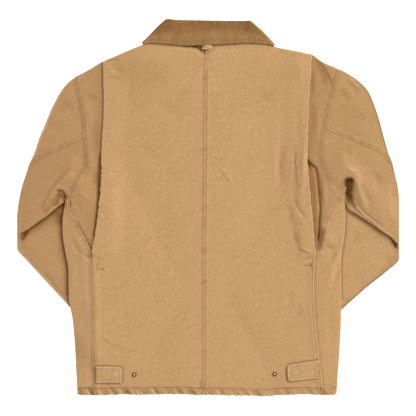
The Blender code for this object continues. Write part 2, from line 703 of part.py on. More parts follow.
def main():
    """Builds the jacket's pieces from the table up."""
    for stray in list(bpy.data.objects):
        bpy.data.objects.remove(stray, do_unlink=True)
    duck = surface("cotton_duck", (0.55, 0.33, 0.14), 0.9)
    corduroy = surface("corduroy", (0.31, 0.16, 0.055), 0.95)
    tape = surface("cotton_tape", (0.6, 0.38, 0.18), 0.85)
    brass = surface("antique_brass", (0.16, 0.09, 0.04), 0.4, 1.0)
    left = Side("left", SLEEVE_LEFT, SIDE_LEFT, PLEAT_LEFT, SHOULDER_LEFT, ARMHOLE_LEFT, ARM_FOLD_LEFT,
                FOREARM_END_LEFT, FRONT_NECK_LEFT, LEFT_FRONT_EDGE_X, False)
    right = Side("right", SLEEVE_RIGHT, SIDE_RIGHT, PLEAT_RIGHT, SHOULDER_RIGHT, ARMHOLE_RIGHT,
                 ARM_FOLD_RIGHT, FOREARM_END_RIGHT, FRONT_NECK_RIGHT, RIGHT_FRONT_EDGE_X, True)
    for side in (left, right):
        front(side, duck)
        side_back(side, duck)
        back(side, duck)
        top_sleeve(side, duck)
        under_sleeve(side, duck)
        forearm(side, duck)
    collar(corduroy)
    hanger_loop(tape)
    hem_tab("hem_tab_left", TAB_LEFT, SIDE_LEFT["seam"], duck)
    hem_tab("hem_tab_right", TAB_RIGHT, SIDE_RIGHT["seam"], duck)
    for name, centre in STUDS.items():
        snap_stud("snap_stud_" + name, centre, brass)
    for number in range(FRONT_SNAP_COUNT):
        front_snap(number, brass)


main()
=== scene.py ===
"""Barn jacket of washed cotton duck with a corduroy collar, laid face down: its looks.

Frame: metres, +Z up out of the back, +Y to the collar, -X is the wearer's left. The tables of
outlines, seams and creases hold millimetres. Every cut piece is one sheet worked out on a grid
of points, then given its ply. Heights are sums of plan functions, so that whatever lies on a
piece, such as its stitches, finds its place by asking that piece for its height.
"""

import logging
import math
from dataclasses import dataclass
from enum import Enum

import bpy
import numpy as np
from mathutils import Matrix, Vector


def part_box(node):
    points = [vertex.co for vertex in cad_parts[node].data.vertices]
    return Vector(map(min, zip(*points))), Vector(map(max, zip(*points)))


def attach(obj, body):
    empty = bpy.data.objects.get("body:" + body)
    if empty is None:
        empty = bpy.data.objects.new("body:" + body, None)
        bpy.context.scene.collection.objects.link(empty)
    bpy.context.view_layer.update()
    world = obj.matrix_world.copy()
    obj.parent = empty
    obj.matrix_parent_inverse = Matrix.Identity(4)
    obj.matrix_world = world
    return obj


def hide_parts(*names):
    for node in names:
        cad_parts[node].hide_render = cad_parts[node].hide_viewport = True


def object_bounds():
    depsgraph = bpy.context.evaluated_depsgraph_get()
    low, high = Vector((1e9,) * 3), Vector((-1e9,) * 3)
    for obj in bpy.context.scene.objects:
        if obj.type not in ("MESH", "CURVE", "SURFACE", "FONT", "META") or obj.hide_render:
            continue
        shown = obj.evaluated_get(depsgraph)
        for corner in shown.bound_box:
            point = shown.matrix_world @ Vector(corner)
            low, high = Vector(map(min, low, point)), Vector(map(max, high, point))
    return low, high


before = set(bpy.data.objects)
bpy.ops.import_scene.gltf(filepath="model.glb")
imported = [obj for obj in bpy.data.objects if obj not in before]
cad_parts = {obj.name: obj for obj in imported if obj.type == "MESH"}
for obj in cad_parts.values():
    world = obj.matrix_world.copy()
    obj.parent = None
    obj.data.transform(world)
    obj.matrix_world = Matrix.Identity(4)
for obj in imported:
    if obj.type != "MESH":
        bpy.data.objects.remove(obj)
CAD_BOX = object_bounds()

logging.basicConfig(level=logging.INFO, format="%(message)s")
LOG = logging.getLogger("barn_jacket")

Array = np.ndarray
MM = 0.001

# Plies of cloth
DUCK_PLY = 1.0 * MM
CORDUROY_PLY = 1.3 * MM
TAPE_PLY = 0.9 * MM

# Middle of each layer above the table, before creases
FRONT_LEVEL = 0.75 * MM
FOREARM_LEVEL = 3.0 * MM
UPPER_LEVEL = 4.8 * MM
CROWN_RISE = 2.6 * MM
CROWN_REACH = 46 * MM
FOREARM_CROWN = 1.4 * MM
PLEAT_RISE = 3.2 * MM
SIDE_SEAM_RISE = 1.3 * MM
PLEAT_TURN = 1.05 * MM
SEAM_TURN = 0.55 * MM

# What holds the fronts off the table
FOREARM_LIFT = 5.2 * MM
COLLAR_LIFT = 2.5 * MM
SNAP_LIFT = 2.1 * MM
OVERLAP_LIFT = 2.25 * MM
LIFT_MARGIN = 22 * MM
LIFT_RAMP = 46 * MM
WIDE_RAMP = 120 * MM
WIDE_RIDGE = 205 * MM
COLLAR_EDGE_Y = 345 * MM
CENTRE_X = -5.5 * MM
SNAP_RIDGE = 14 * MM
OVERLAP_RIDGE = 26 * MM
RIDGE_END = 74 * MM
FRONT_NECK_Y = 250 * MM
NECK_RAMP = 40 * MM
NECK_Y = 362.4 * MM
HEM_Y = -402 * MM

# Lapped seams: how far the covered edge runs under
COVERED = 6 * MM
EDGE_SEAM_INSET = 4 * MM
PLEAT_TUCK = 24 * MM
SEAM_TUCK = 3 * MM


def mm(*rows: tuple) -> Array:
    """Rows of millimetres as an array in metres."""
    return MM * np.array(rows, dtype=float)


def table(columns: str, rows: str) -> dict[str, Array]:
    """A short table with two numbers under each column name, in metres.

    Args:
        columns: names of the columns, apart by spaces.
        rows: lines of plan points in millimetres, x and y in turn.

    Returns:
        One (rows, 2) array for each column.
    """
    values = MM * np.array([row.split() for row in rows.strip().splitlines()], dtype=float)
    return {name: values[:, 2 * i:2 * i + 2] for i, name in enumerate(columns.split())}


# Sleeve sections from the shoulder tip to the cuff: seam on top, outer edge, end of the under layer
SLEEVE_LEFT = table("seam edge under", """
-284 275.5 -291 278 -284 275
-281 255 -310 259.6 -275 250
-275 230 -326.8 232.4 -265 222
-269 198 -341.2 202.6 -257 192
-265 154 -353 173 -254 160
-300 138 -363.4 149.5 -256 128
-335 121 -370.4 126.8 -264 97
-364 107 -377 110.5 -278 66
-380 95 -385 93 -303 31
-387 72 -392.5 70 -313 24
-394.5 48 -400 47 -313 14
-399.5 24 -405.5 23 -304 6
-402 2 -409 1 -292 -4
-403.5 -22 -411 -23 -277 -20
-407 -58.5 -411 -60 -260 -38
-403.5 -67 -411 -70 -244 -54
-399 -78 -411 -88 -228 -70
-374 -110 -386.2 -118 -205 -94
-340 -147 -351 -156.4 -182 -117
-303 -188 -313.6 -197 -160 -139
-262 -232 -273 -241.4 -137 -162
-215 -283 -225.6 -292 -114 -184
""")
SLEEVE_RIGHT = table("seam edge under", """
283.5 296 289 294.6 283 291
277 268 321 274.6 272 262
269 240 344 251.4 262 232
261 207 360 215 254 200
254 171 372 177 250 168
293 155 377 157 251 138
334 137 383 136 257 110
370 121 389 115 271 80
391 100 396.5 96 297.5 42
398 71 402.8 69.8 308 36
402.5 44 408.5 44 308 28
404.5 18 411 18 300 18
404 -12 411 -12 290 6
403.5 -40 411 -40 277 -11
407 -79 411 -81 262 -28
403 -88 411 -94 246 -44
400 -99 411 -111 229 -62
374 -136 380.4 -141 207 -85
336 -168 341.2 -172.2 181 -110
299 -201 304 -205 156 -133
250 -246 255 -250 130 -157
199 -291 204 -294 103 -182
""")
SEAM_START = 4
SEAM_END = 8
ELBOW = 14
FOREARM_START = 15
ARMHOLE_CORNER = 3

# Below the underarm: side seam on the back, and the body's edge, round which the front wraps
SIDE_LEFT = table("seam edge", """
-300 22 -306 19
-299 -5 -310 -4
-284 -28 -313.5 -30
-269 -55 -313 -58
-254 -85 -309 -86
-249.7 -98 -307 -98
-249 -132 -301 -132
-246 -190 -299.6 -190
-245 -245 -290.8 -245
-244 -305 -286 -305
-243 -345 -284 -345
-243 -402 -281 -402
""")
SIDE_RIGHT = table("seam edge", """
291 30 295 28
266 3 294.5 2
251 -24 295 -24
243 -50 294 -52
236 -80 290 -82
231 -98 287.5 -98
228 -132 286 -132
227 -190 286.5 -190
230.5 -245 286 -245
236 -305 283.4 -305
242 -345 280.4 -350
247 -402 276.8 -402
""")
TIP = 5

# Fold line of each back pleat, from the shoulder to where it meets the side seam
PLEAT_LEFT = mm(
    (-227, 311), (-226, 274), (-225, 231), (-226, 188), (-229, 145), (-230, 102), (-230, 57),
    (-233, 23), (-236, -5), (-240, -38), (-246, -72), (-249.5, -93), (-249.3, -112),
)
PLEAT_RIGHT = mm(
    (222.5, 327), (220, 274), (217, 231), (215.5, 188), (214.5, 145), (213.5, 102), (217, 57),
    (220, 23), (223, -5), (226, -38), (228.5, -72), (231, -93), (229.8, -112),
)
PLEAT_ROWS = 12
SHOULDER_LEFT = mm((-284, 282), (-250.5, 299.8), (-227.5, 313.8), (-188, 331.8), (-157, 344.5),
                   (-141, 350), (-118.5, 362.5))
SHOULDER_RIGHT = mm((284, 296.5), (246, 313.5), (220.5, 329.8), (205, 334.2), (165, 341.5),
                    (146, 345.5), (123.5, 359))
STRIP_REACH = 20 * MM
STRIP_TOP_DROP = 9 * MM

# Edge of the lap at the centre back, and what lies under the fronts
CENTRE_LAP = mm((-4.5, 363), (-5, 334), (-7.6, 296), (-9.1, 134), (-10.6, -113), (-10.6, -402))
FOREARM_OUTLINE_LEFT = mm((-299, 30), (-411, -62), (-411, -89), (-224, -291), (-114, -184))
FOREARM_OUTLINE_RIGHT = mm((293, 43), (103, -182), (204, -294), (411, -111), (411, -75))
COLLAR_FALL = mm((-142, 350), (-90, 412), (90, 412), (148, 345))
COLLAR_LEAVES = mm((-90, 410), (-145, 351), (-132, 268), (-72, 200), (72, 200), (132, 266),
                   (150, 346), (90, 410))

# Lower back armhole from the sleeve seam to the underarm, the folded lower edge of the upper
# arm, and the hidden upper end of the forearm's top layer
ARMHOLE_LEFT = mm((-265, 154), (-263, 128), (-262, 104), (-266, 84), (-277, 67), (-288, 46),
                  (-295, 33), (-302, 21))
ARMHOLE_RIGHT = mm((254, 171), (248, 140), (247, 113), (253, 87), (265, 67), (277, 53), (286, 47),
                   (294, 44))
ARM_FOLD_LEFT = mm((-307.5, 13), (-321.5, 2.5), (-335.5, -9.5), (-349, -20.5), (-361.5, -28.5),
                   (-375, -39), (-389, -48.5), (-404.6, -57.3))
ARM_FOLD_RIGHT = mm((293, 26), (296, 6), (300, -3), (314.5, -11.5), (336, -25), (351, -34.5),
                    (370, -48), (388, -60), (397, -69), (404.6, -76.6))
FOREARM_END_LEFT = mm((-403.5, -67), (-386, -26), (-357, 2), (-328, 26), (-292, 38))
FOREARM_END_RIGHT = mm((403, -88), (385, -34), (352, -4), (320, 22), (284, 36))
FRONT_NECK_LEFT = mm((-118.5, 362.5), (-112, 331), (-94, 300), (-58, 273), (-20, 258), (15, 253))
FRONT_NECK_RIGHT = mm((123.5, 359), (114, 329), (94, 300), (58, 273), (9, 258), (-26, 252))

# Collar sections from the front point round the neck: edge of the fall, crease, edge of the stand
COLLAR_LEFT = table("fall crease stand", """
-72 203 -13 265 -20 258
-98 232 -36 287 -58 273
-118 268 -56 313 -94 300
-130 310 -74 350 -112 331
-143 354.5 -90.5 405.2 -119 370
""")
COLLAR_RIGHT = table("fall crease stand", """
72 203 2 265 9 258
98 230 36 287 58 273
119 266 56 313 94 300
134 308 74 349 114 329
145 351 90.5 402.2 116 368
""")
HEM_LINE = mm((-281, -403.0), (-240, -404.2), (-216, -402.7), (-168, -402.2), (-144, -402.8),
              (-108, -401.8), (-60, -401.3), (-24, -402.7), (24, -403.2), (72, -404.2), (120, -405.7),
              (150, -404.0), (192, -402.0), (216, -401.7), (252, -403.4), (272, -402.8))
# Across the back: x and y of the fall's edge, and y of the crease above it
COLLAR_BACK = mm((-125, 353.2, 404.8), (-108, 352.2, 402.4), (-80, 350.0, 400.8), (-60, 347.9, 401.4),
                 (-37, 347.5, 402.8), (-5, 349.2, 402.4), (30, 350.2, 401.4), (60, 351.6, 400.6),
                 (90, 353.2, 400.2), (116, 351.8, 400.6), (132, 350.4, 401.0))
COLLAR_BULGE = {-1.0: 0.6 * MM, 1.0: 1.5 * MM}
NECK_SEAM_Y = 363.6 * MM

# Where the shoulder's roll ends above the front, and the angles of rolled edges: a whole fold,
# from the top layer to the one below, and an edge that only turns down
ROLL_REST = 1.3 * MM
FOLDED = (90, -90)
TURNED_DOWN = (90, -40)
HEM_DEPTH = 15.0 * MM
COLLAR_MIDDLE = 5.65 * MM
FALL_HALF = 4.75 * MM
STAND_HALF = 1.25 * MM


def smooth(share: Array) -> Array:
    """Nought to one with level ends: three times the square less twice the cube."""
    share = np.clip(share, 0.0, 1.0)
    return share * share * (3.0 - 2.0 * share)


def fade(distance: Array, flat: float, end: float) -> Array:
    """One up to the distance flat, falling smoothly to nought at the distance end."""
    return smooth((end - distance) / (end - flat))


def unit(vectors: Array) -> Array:
    """Vectors of length one."""
    return vectors / np.maximum(np.linalg.norm(vectors, axis=-1, keepdims=True), 1e-9)


def normals_of(line: Array) -> Array:
    """Plan normals of a line, to its left."""
    along = unit(np.gradient(line, axis=0))
    return np.stack([-along[:, 1], along[:, 0]], axis=1)


def shifted(line: Array, distance: float) -> Array:
    """The line moved over to its left by a distance."""
    return line + normals_of(line) * distance


def reach(line: Array) -> Array:
    """Length along the line up to each of its points."""
    return np.concatenate([[0.0], np.cumsum(np.linalg.norm(np.diff(line, axis=0), axis=-1))])


def read(line: Array, rows: Array) -> Array:
    """Monotone cubic through a line's points, read at whole and part row numbers.

    The slope at a point is the harmonic mean of the steps beside it, or nought where they turn
    back, so that the curve never swings past its points.
    """
    steps = np.diff(line, axis=0)
    before, after = steps[:-1], steps[1:]
    same = before * after > 0
    middle = np.where(same, 2 * before * after / np.where(same, before + after, 1.0), 0.0)
    slopes = np.concatenate([steps[:1], middle, steps[-1:]])
    index = np.clip(np.asarray(rows).astype(int), 0, len(line) - 2)
    part = (np.asarray(rows) - index).reshape(-1, *([1] * (line.ndim - 1)))
    rest = 1.0 - part
    return ((1 + 2 * part) * rest ** 2 * line[index] + part * rest ** 2 * slopes[index]
            + part ** 2 * (3 - 2 * part) * line[index + 1] - part ** 2 * rest * slopes[index + 1])


def even_rows(line: Array, shares: Array) -> Array:
    """Row numbers at which a line reaches the given shares of its length."""
    rows = np.linspace(0.0, len(line) - 1.0, 24 * len(line))
    lengths = reach(read(line, rows))
    return np.interp(np.asarray(shares) * lengths[-1], lengths, rows)


def even(line: Array, shares: Array) -> Array:
    """Points of the smooth line at the given shares of its length."""
    return read(line, even_rows(line, shares))


def shares_of(width: float, fine_start: float, fine_end: float, fine: float, coarse: float) -> Array:
    """Shares of the way over a width, closer together near the borders that carry seams.

    Args:
        width: whole width in metres.
        fine_start: width at the start with fine steps.
        fine_end: width at the end with fine steps.
        fine: fine step.
        coarse: step between the two.

    Returns:
        Rising shares from 0 to 1.
    """
    cuts = [0.0, fine_start, width - fine_end, width]
    steps = [fine, coarse, fine]
    parts = [
        np.linspace(low, high, max(1, round((high - low) / step)), endpoint=False)
        for low, high, step in zip(cuts[:-1], cuts[1:], steps) if high > low
    ]
    return np.concatenate([*parts, [width]]) / width


def coons(first: Array, last: Array, start: Array, end: Array, u: Array, v: Array) -> Array:
    """Plan grid between four border lines: blends opposite borders and takes off the corners.

    Args:
        first: border at v = 0, read at u.
        last: border at v = 1, read at u.
        start: border at u = 0, read at v.
        end: border at u = 1, read at v.
        u: shares across.
        v: shares down.

    Returns:
        Grid of shape (v, u, 2).
    """
    u = u[None, :, None]
    v = v[:, None, None]
    across = (1 - v) * first[None] + v * last[None]
    down = (1 - u) * start[:, None] + u * end[:, None]
    corners = ((1 - u) * (1 - v) * first[0] + u * (1 - v) * first[-1]
               + (1 - u) * v * last[0] + u * v * last[-1])
    return across + down - corners


def raised(plan: Array, height: Array) -> Array:
    """Plan points with their heights, as points in space."""
    return np.concatenate([plan, np.broadcast_to(height, plan.shape[:-1])[..., None]], axis=-1)


def nearest(plan: Array, line: Array) -> tuple[Array, Array, Array]:
    """Where plan points stand against a line.

    Args:
        plan: points on any grid.
        line: (k, 2) points of the line.

    Returns:
        Distance to the line, the same distance signed (left positive), and the length along
        the line at the nearest point.
    """
    steps = np.diff(line, axis=0)
    squares = np.maximum(np.sum(steps ** 2, axis=1), 1e-12)
    away = plan.reshape(-1, 1, 2) - line[:-1]
    part = np.clip(np.sum(away * steps, axis=2) / squares, 0.0, 1.0)
    distances = np.sum((away - part[..., None] * steps) ** 2, axis=2)
    best = np.argmin(distances, axis=1)
    chosen = np.arange(len(away)), best
    distance = np.sqrt(distances[chosen])
    turn = steps[best, 0] * away[chosen][:, 1] - steps[best, 1] * away[chosen][:, 0]
    along = reach(line)[best] + part[chosen] * np.sqrt(squares[best])
    signed = distance * np.where(turn < 0, -1.0, 1.0)
    return tuple(values.reshape(plan.shape[:-1]) for values in (distance, signed, along))


def outside(plan: Array, outline: Array) -> Array:
    """Distance of plan points outside a convex outline, as the greatest edge distance."""
    following = np.roll(outline, -1, axis=0)
    corners = following - outline
    area = np.sum(outline[:, 0] * following[:, 1] - outline[:, 1] * following[:, 0])
    normals = unit(np.stack([corners[:, 1], -corners[:, 0]], axis=1) * np.sign(area))
    return np.max(plan @ normals.T - np.sum(outline * normals, axis=1), axis=-1)


def lattice(places: Array, seed: int) -> Array:
    """Smooth noise between -1 and 1 on one or two lattice coordinates.

    Each lattice point has a seeded random value, and places between them blend the values
    around them with level-ended shares.
    """
    size = 61
    values = np.random.default_rng(seed).uniform(-1.0, 1.0, (size, size))
    cell = np.floor(places).astype(int)
    part = smooth(places - cell)
    x, y = cell[..., 0] % size, cell[..., 1] % size
    right, above = (x + 1) % size, (y + 1) % size
    low = values[x, y] * (1 - part[..., 0]) + values[right, y] * part[..., 0]
    high = values[x, above] * (1 - part[..., 0]) + values[right, above] * part[..., 0]
    return low * (1 - part[..., 1]) + high * part[..., 1]


def noise(x: Array, wide: float, y: Array, tall: float, seed: int) -> Array:
    """Lattice noise on two measures, whose cells are so many millimetres wide and tall."""
    return lattice(np.stack(np.broadcast_arrays(x / (wide * MM), y / (tall * MM)), axis=-1), seed)


def bell(distance: Array, width: float) -> Array:
    """One at nought, falling as exp(-(d / w)^2) to both sides; the width is in millimetres."""
    return np.exp(-(distance / (width * MM)) ** 2)


def carried(values: Array, rows: int, columns: int = 0) -> Array:
    """Tones carried on over added rows and columns, in front of a grid or, below nought, behind it."""
    return np.pad(values, [(max(count, 0), max(-count, 0)) for count in (rows, columns)], mode="edge")


def dents(plan: Array, seed: int) -> Array:
    """Shallow unevenness of washed cloth: three layers of noise, 64, 27 and 11 mm across."""
    turned = plan @ np.array([[0.82, 0.57], [-0.57, 0.82]])
    total = np.zeros(plan.shape[:-1])
    for size, weight, offset in ((64, 0.5, 0), (27, 0.32, 7), (11, 0.12, 13)):
        total = total + weight * lattice(turned / (size * MM) + offset, seed + offset)
    return total


class Form(Enum):
    """Cross-section of a crease."""

    ROLL = "soft bell on both sides"
    LEDGE = "stands up to the left of its path and falls sharply to the right"


@dataclass(frozen=True)
class Fold:
    """A crease in the cloth.

    Attributes:
        path: plan points in millimetres, (n, 2).
        width: half width in millimetres.
        rise: height in millimetres, below nought for a trough.
        form: cross-section.
        soil_and_shade: how much darker its line is, 0 to 1: painted shade in troughs and hollows and at
            the foot of higher edges.
        wear_and_highlight: how much paler its line is, 0 to 1: abrasion on ridges, and painted highlight.
        ends: share of its length over which it dies away at each end.
    """

    path: Array
    width: float
    rise: float
    form: Form
    soil_and_shade: float
    wear_and_highlight: float
    ends: float

    def add_to(self, plan: Array, height: Array, soil_and_shade: Array, wear_and_highlight: Array) -> None:
        """Adds the crease to the heights and tones of plan points that lie near it.

        The height is the rise times a bell exp(-(d/w)^2), or for a ledge exp(-d/w) on its left
        side only, times a smooth fade towards both ends.
        """
        line = MM * self.path
        if len(line) > 2:
            line = even(line, np.linspace(0.0, 1.0, 3 * len(line)))
        width = self.width * MM
        margin = 3.2 * width
        near = np.all((plan > line.min(axis=0) - margin) & (plan < line.max(axis=0) + margin), axis=1)
        if not near.any():
            return
        distance, signed, along = nearest(plan[near], line)
        length = reach(line)[-1]
        ends = smooth(np.minimum(along, length - along) / max(self.ends * length, 1e-6))
        ends *= np.exp(-np.maximum(distance - 3 * width, 0.0) / width)
        if self.form is Form.ROLL:
            shape = np.exp(-(distance / width) ** 2)
        else:
            shape = np.exp(-np.maximum(signed, 0.0) / width) * smooth((signed + 0.6 * MM) / (1.2 * MM))
        height[near] += self.rise * MM * shape * ends
        tone = np.exp(-(distance / (0.6 * width)) ** 2) * np.sqrt(ends)
        soil_and_shade[near] += self.soil_and_shade * tone
        wear_and_highlight[near] += self.wear_and_highlight * tone


def creases(rows: str) -> tuple[Fold, ...]:
    """Creases from a table's rows, each a soft roll unless it begins with the name of its form."""
    made = []
    for row in rows.strip().splitlines():
        words = row.split()
        form = Form[words.pop(0)] if words[0].isalpha() else Form.ROLL
        width, rise, soil_and_shade, wear_and_highlight, ends, *path = map(float, words)
        made.append(Fold(np.reshape(path, (-1, 2)), width, rise, form, soil_and_shade, wear_and_highlight, ends))
    return tuple(made)


@dataclass(frozen=True)
class Seam:
    """A lapped and stitched seam: one piece's edge lies on the other's.

    Attributes:
        path: the lap's edge in plan, in metres.
        side: 1 if the lapping piece is to the left of the path, -1 if to its right.
        rows: distance of each row of stitches from the edge, on the lapping piece.
        rise: height of the lap over the piece below.
        width: width of the lap.
        pucker: height of the puckers.
        band: how much darker the cloth between the rows is.
        beyond: how much paler the ridge is where the lap ends.
        corner_shade: how dark the painted shade in the corner at the lap's edge is.
        corner_shade_at: distance of that painted dark line below the edge.
        stitched: how dark the rows of stitches are.
        seed: of the puckers' noise.
    """

    path: Array
    side: float
    rows: tuple = (2.0 * MM, 8.2 * MM)
    rise: float = 0.4 * MM
    width: float = 9.8 * MM
    pucker: float = 0.42 * MM
    band: float = 0.05
    beyond: float = 0.14
    corner_shade: float = 0.1
    corner_shade_at: float = 0.8 * MM
    stitched: float = 0.4
    seed: int = 1

    def beads(self, signed: Array, along: Array) -> Array:
        """Uneven ridges across the seam, -1 to 1, a few millimetres apart, dying away beside it."""
        slanted = along + 0.5 * signed
        waves = noise(slanted, 3.6, signed, 16, self.seed)
        swell = 0.55 + 0.45 * noise(along, 33, 0.0, 1, self.seed + 5)
        spread = np.exp(-((signed - 0.5 * self.width) / (1.15 * self.width)) ** 2)
        return waves * swell * spread

    def groove(self, signed: Array, along: Array, row: float) -> tuple[Array, Array]:
        """Depth share of a row of stitches' groove, and its tone, which beats with the stitches."""
        groove = bell(signed - row, 0.8)
        beat = 0.62 + 0.38 * np.cos(2 * math.pi * along / STITCH_PITCH)
        fresh = 0.7 + 0.3 * noise(along, 19, 0.0, 1, self.seed + 9)
        return groove, groove * beat * fresh

    def add_lap(self, plan: Array, height: Array, soil_and_shade: Array, wear_and_highlight: Array) -> None:
        """Adds the lap's own rise, puckers, stitch grooves and tones to the lapping piece."""
        near, signed, along = self.locate(plan)
        band = fade(signed, self.width - 0.6 * MM, self.width + 2.0 * MM)
        beads = self.beads(signed, along)
        height[near] += self.rise * band + self.pucker * beads
        tone = self.band * fade(np.abs(signed - 0.5 * self.width), 0.3 * self.width, 0.52 * self.width)
        for row in self.rows:
            groove, dark = self.groove(signed, along, row)
            height[near] -= 0.25 * MM * groove
            tone = tone + self.stitched * dark
        soil_and_shade[near] += tone
        # The pale lap edge is a painted highlight over the shade at the edge; pucker troughs get painted
        # shade, and their paler crests are abrasion and painted highlight
        edge = 1.05 * bell(signed - 0.8 * MM, 1.1)
        ridge = self.beyond * bell(signed - self.width - 1.2 * MM, 1.2)
        soil_and_shade[near] += 0.2 * np.clip(-beads, 0.0, 1.0)
        wear_and_highlight[near] += (edge + ridge) * np.clip(0.75 + 0.6 * beads, 0.3, 1.3)
        wear_and_highlight[near] += 0.3 * np.clip(beads, 0.0, 1.0)

    def add_under(self, plan: Array, height: Array, soil_and_shade: Array, wear_and_highlight: Array) -> None:
        """Adds the puckers and the painted shade in the corner at the lap's edge to the piece below."""
        near, signed, along = self.locate(plan)
        beads = self.beads(signed, along)
        height[near] += self.pucker * beads
        # Painted shade in the puckers' troughs and in the lap's corner; the paler pucker crests are
        # abrasion and painted highlight
        soil_and_shade[near] += 0.2 * np.clip(-beads, 0.0, 1.0)
        soil_and_shade[near] += self.corner_shade * bell(np.minimum(signed, 0.0) + self.corner_shade_at, 1.1)
        wear_and_highlight[near] += 0.3 * np.clip(beads, 0.0, 1.0)

    def locate(self, plan: Array) -> tuple[Array, Array, Array]:
        """Mask of the points near the seam, their distance into the lap, and length along it."""
        margin = 26 * MM
        low, high = self.path.min(axis=0) - margin, self.path.max(axis=0) + margin
        near = np.all((plan > low) & (plan < high), axis=1)
        _, signed, along = nearest(plan[near], self.path)
        return near, signed * self.side, along

    def stitch_rows(self) -> list[Array]:
        """Plan lines of the rows of stitches."""
        return [shifted(self.path, self.side * row) for row in self.rows]


@dataclass(frozen=True)
class FelledSeam(Seam):
    """A flat-felled seam: both edges are folded into a raised band with two rows of stitches."""

    def add_band(self, plan: Array, height: Array, soil_and_shade: Array, wear_and_highlight: Array) -> None:
        """Adds the band to either piece: its painted dark line of shade, pale lips and rows, from the
        path on.
        """
        near, signed, along = self.locate(plan)
        beads = self.beads(signed, along)
        band = smooth(signed / (1.4 * MM)) * fade(signed, self.width, self.width + 2 * MM)
        height[near] += self.rise * band + self.pucker * beads
        uneven = np.clip(0.8 + 0.6 * beads, 0.3, 1.3)
        # Painted shade: the dark line along the path and, below, the puckers' troughs
        tone = self.band * band + self.corner_shade * bell(signed, 1.0) * uneven
        for row in self.rows:
            groove, dark = self.groove(signed, along, row)
            height[near] -= 0.25 * MM * groove
            tone = tone + self.stitched * dark
        soil_and_shade[near] += tone + 0.16 * np.clip(-beads, 0.0, 1.0)
        lip = 0.34 * (bell(signed - 2.6 * MM, 1.0) + bell(signed + 2.4 * MM, 1.0))
        ridge = self.beyond * bell(signed - self.width - 1.0 * MM, 1.1)
        wear_and_highlight[near] += (lip + ridge) * uneven + 0.26 * np.clip(beads, 0.0, 1.0)

    add_lap = add_band
    add_under = add_band


# Stitches: pitch along the row, length that shows, thickness of the thread, and how far the
# ends dip below the line and the middle arches over it
STITCH_PITCH = 3.5 * MM
STITCH_LENGTH = 2.5 * MM
STITCH_RADIUS = 0.4 * MM
STITCH_SINK = 0.12 * MM
STITCH_ARCH = 0.14 * MM


def below_neck(plan: Array) -> Array:
    """One on the front overlap, nought above the front neck."""
    return fade(plan[..., 1], FRONT_NECK_Y, FRONT_NECK_Y + NECK_RAMP)


def forearm_lift(plan: Array, ramp: float) -> Array:
    """How far both forearms hold up what lies on them, falling off over a ramp around them."""
    distance = np.minimum(outside(plan, FOREARM_OUTLINE_LEFT), outside(plan, FOREARM_OUTLINE_RIGHT))
    return FOREARM_LIFT * fade(distance, LIFT_MARGIN, LIFT_MARGIN + ramp)


def lift(plan: Array) -> Array:
    """How far forearms, collar leaves and snaps hold the fronts off the table."""
    forearm = forearm_lift(plan, LIFT_RAMP)
    leaves = COLLAR_LIFT * fade(outside(plan, COLLAR_LEAVES), LIFT_MARGIN, LIFT_MARGIN + LIFT_RAMP)
    snaps = SNAP_LIFT * fade(np.abs(plan[..., 0] - CENTRE_X), SNAP_RIDGE, RIDGE_END) * below_neck(plan)
    return np.maximum(np.maximum(forearm, leaves), snaps)


def soft_lift(plan: Array) -> Array:
    """The lift of the back over both fronts, spread wide, as the stiff cloth carries it."""
    ridge = fade(np.abs(plan[..., 0] - CENTRE_X), OVERLAP_RIDGE, WIDE_RIDGE)
    middle = (SNAP_LIFT + OVERLAP_LIFT) * ridge * fade(plan[..., 1], FRONT_NECK_Y, COLLAR_EDGE_Y)
    return np.maximum(np.maximum(lift(plan) + overlap(plan), forearm_lift(plan, WIDE_RAMP)), middle)


def overlap(plan: Array) -> Array:
    """Extra height where both fronts lie on each other."""
    ridge = fade(np.abs(plan[..., 0] - CENTRE_X), OVERLAP_RIDGE, RIDGE_END)
    return OVERLAP_LIFT * ridge * below_neck(plan)


@dataclass(frozen=True)
class Half:
    """The lines of one half of the jacket."""

    name: str
    sleeve: dict
    body: dict
    pleat: Array
    shoulder: Array
    armhole: Array
    arm_fold: Array
    forearm_end: Array
    front_neck: Array
    front_edge_x: float
    on_top: bool
    armhole_lap: float
    side_lap: float
    fold_start: int
    felled_in: float
    felled_rows: tuple

    @property
    def sign(self) -> float:
        """-1 on the left half and 1 on the right."""
        return float(np.sign(self.pleat[0, 0]))

    @property
    def fold(self) -> Array:
        """Outer line of the back: the pleat's fold, and below it the side seam."""
        return np.concatenate([self.pleat, self.body["seam"][TIP + 1:]])

    @property
    def sleeve_seam(self) -> Array:
        """Seam of the sleeve's upper side; along the upper arm's outer edge it all but turns under."""
        seam, edge = self.sleeve["seam"].copy(), self.sleeve["edge"]
        rows = slice(SEAM_END + 1, ELBOW + 1)
        seam[rows] = edge[rows] + unit(seam[rows] - edge[rows]) * EDGE_SEAM_INSET
        return seam

    @property
    def armhole_line(self) -> Array:
        """Back armhole from the shoulder to the underarm."""
        return np.concatenate([self.sleeve["seam"][:SEAM_START], self.armhole])

    def edge_line(self) -> Array:
        """Outline of this half: shoulder, sleeve to the elbow, then the body's edge to the hem."""
        return np.concatenate([self.shoulder[::-1], self.sleeve["edge"][:ELBOW + 2]])


LEFT = Half("left", SLEEVE_LEFT, SIDE_LEFT, PLEAT_LEFT, SHOULDER_LEFT, ARMHOLE_LEFT, ARM_FOLD_LEFT,
            FOREARM_END_LEFT, FRONT_NECK_LEFT, 15 * MM, False, 4 * MM, 2.4 * MM, 0, 3.4 * MM,
            (5.8 * MM, 9.0 * MM))
RIGHT = Half("right", SLEEVE_RIGHT, SIDE_RIGHT, PLEAT_RIGHT, SHOULDER_RIGHT, ARMHOLE_RIGHT,
             ARM_FOLD_RIGHT, FOREARM_END_RIGHT, FRONT_NECK_RIGHT, -26 * MM, True, 0.8 * MM, 0.0, 1,
             4.0 * MM, (5.4 * MM, 9.8 * MM))


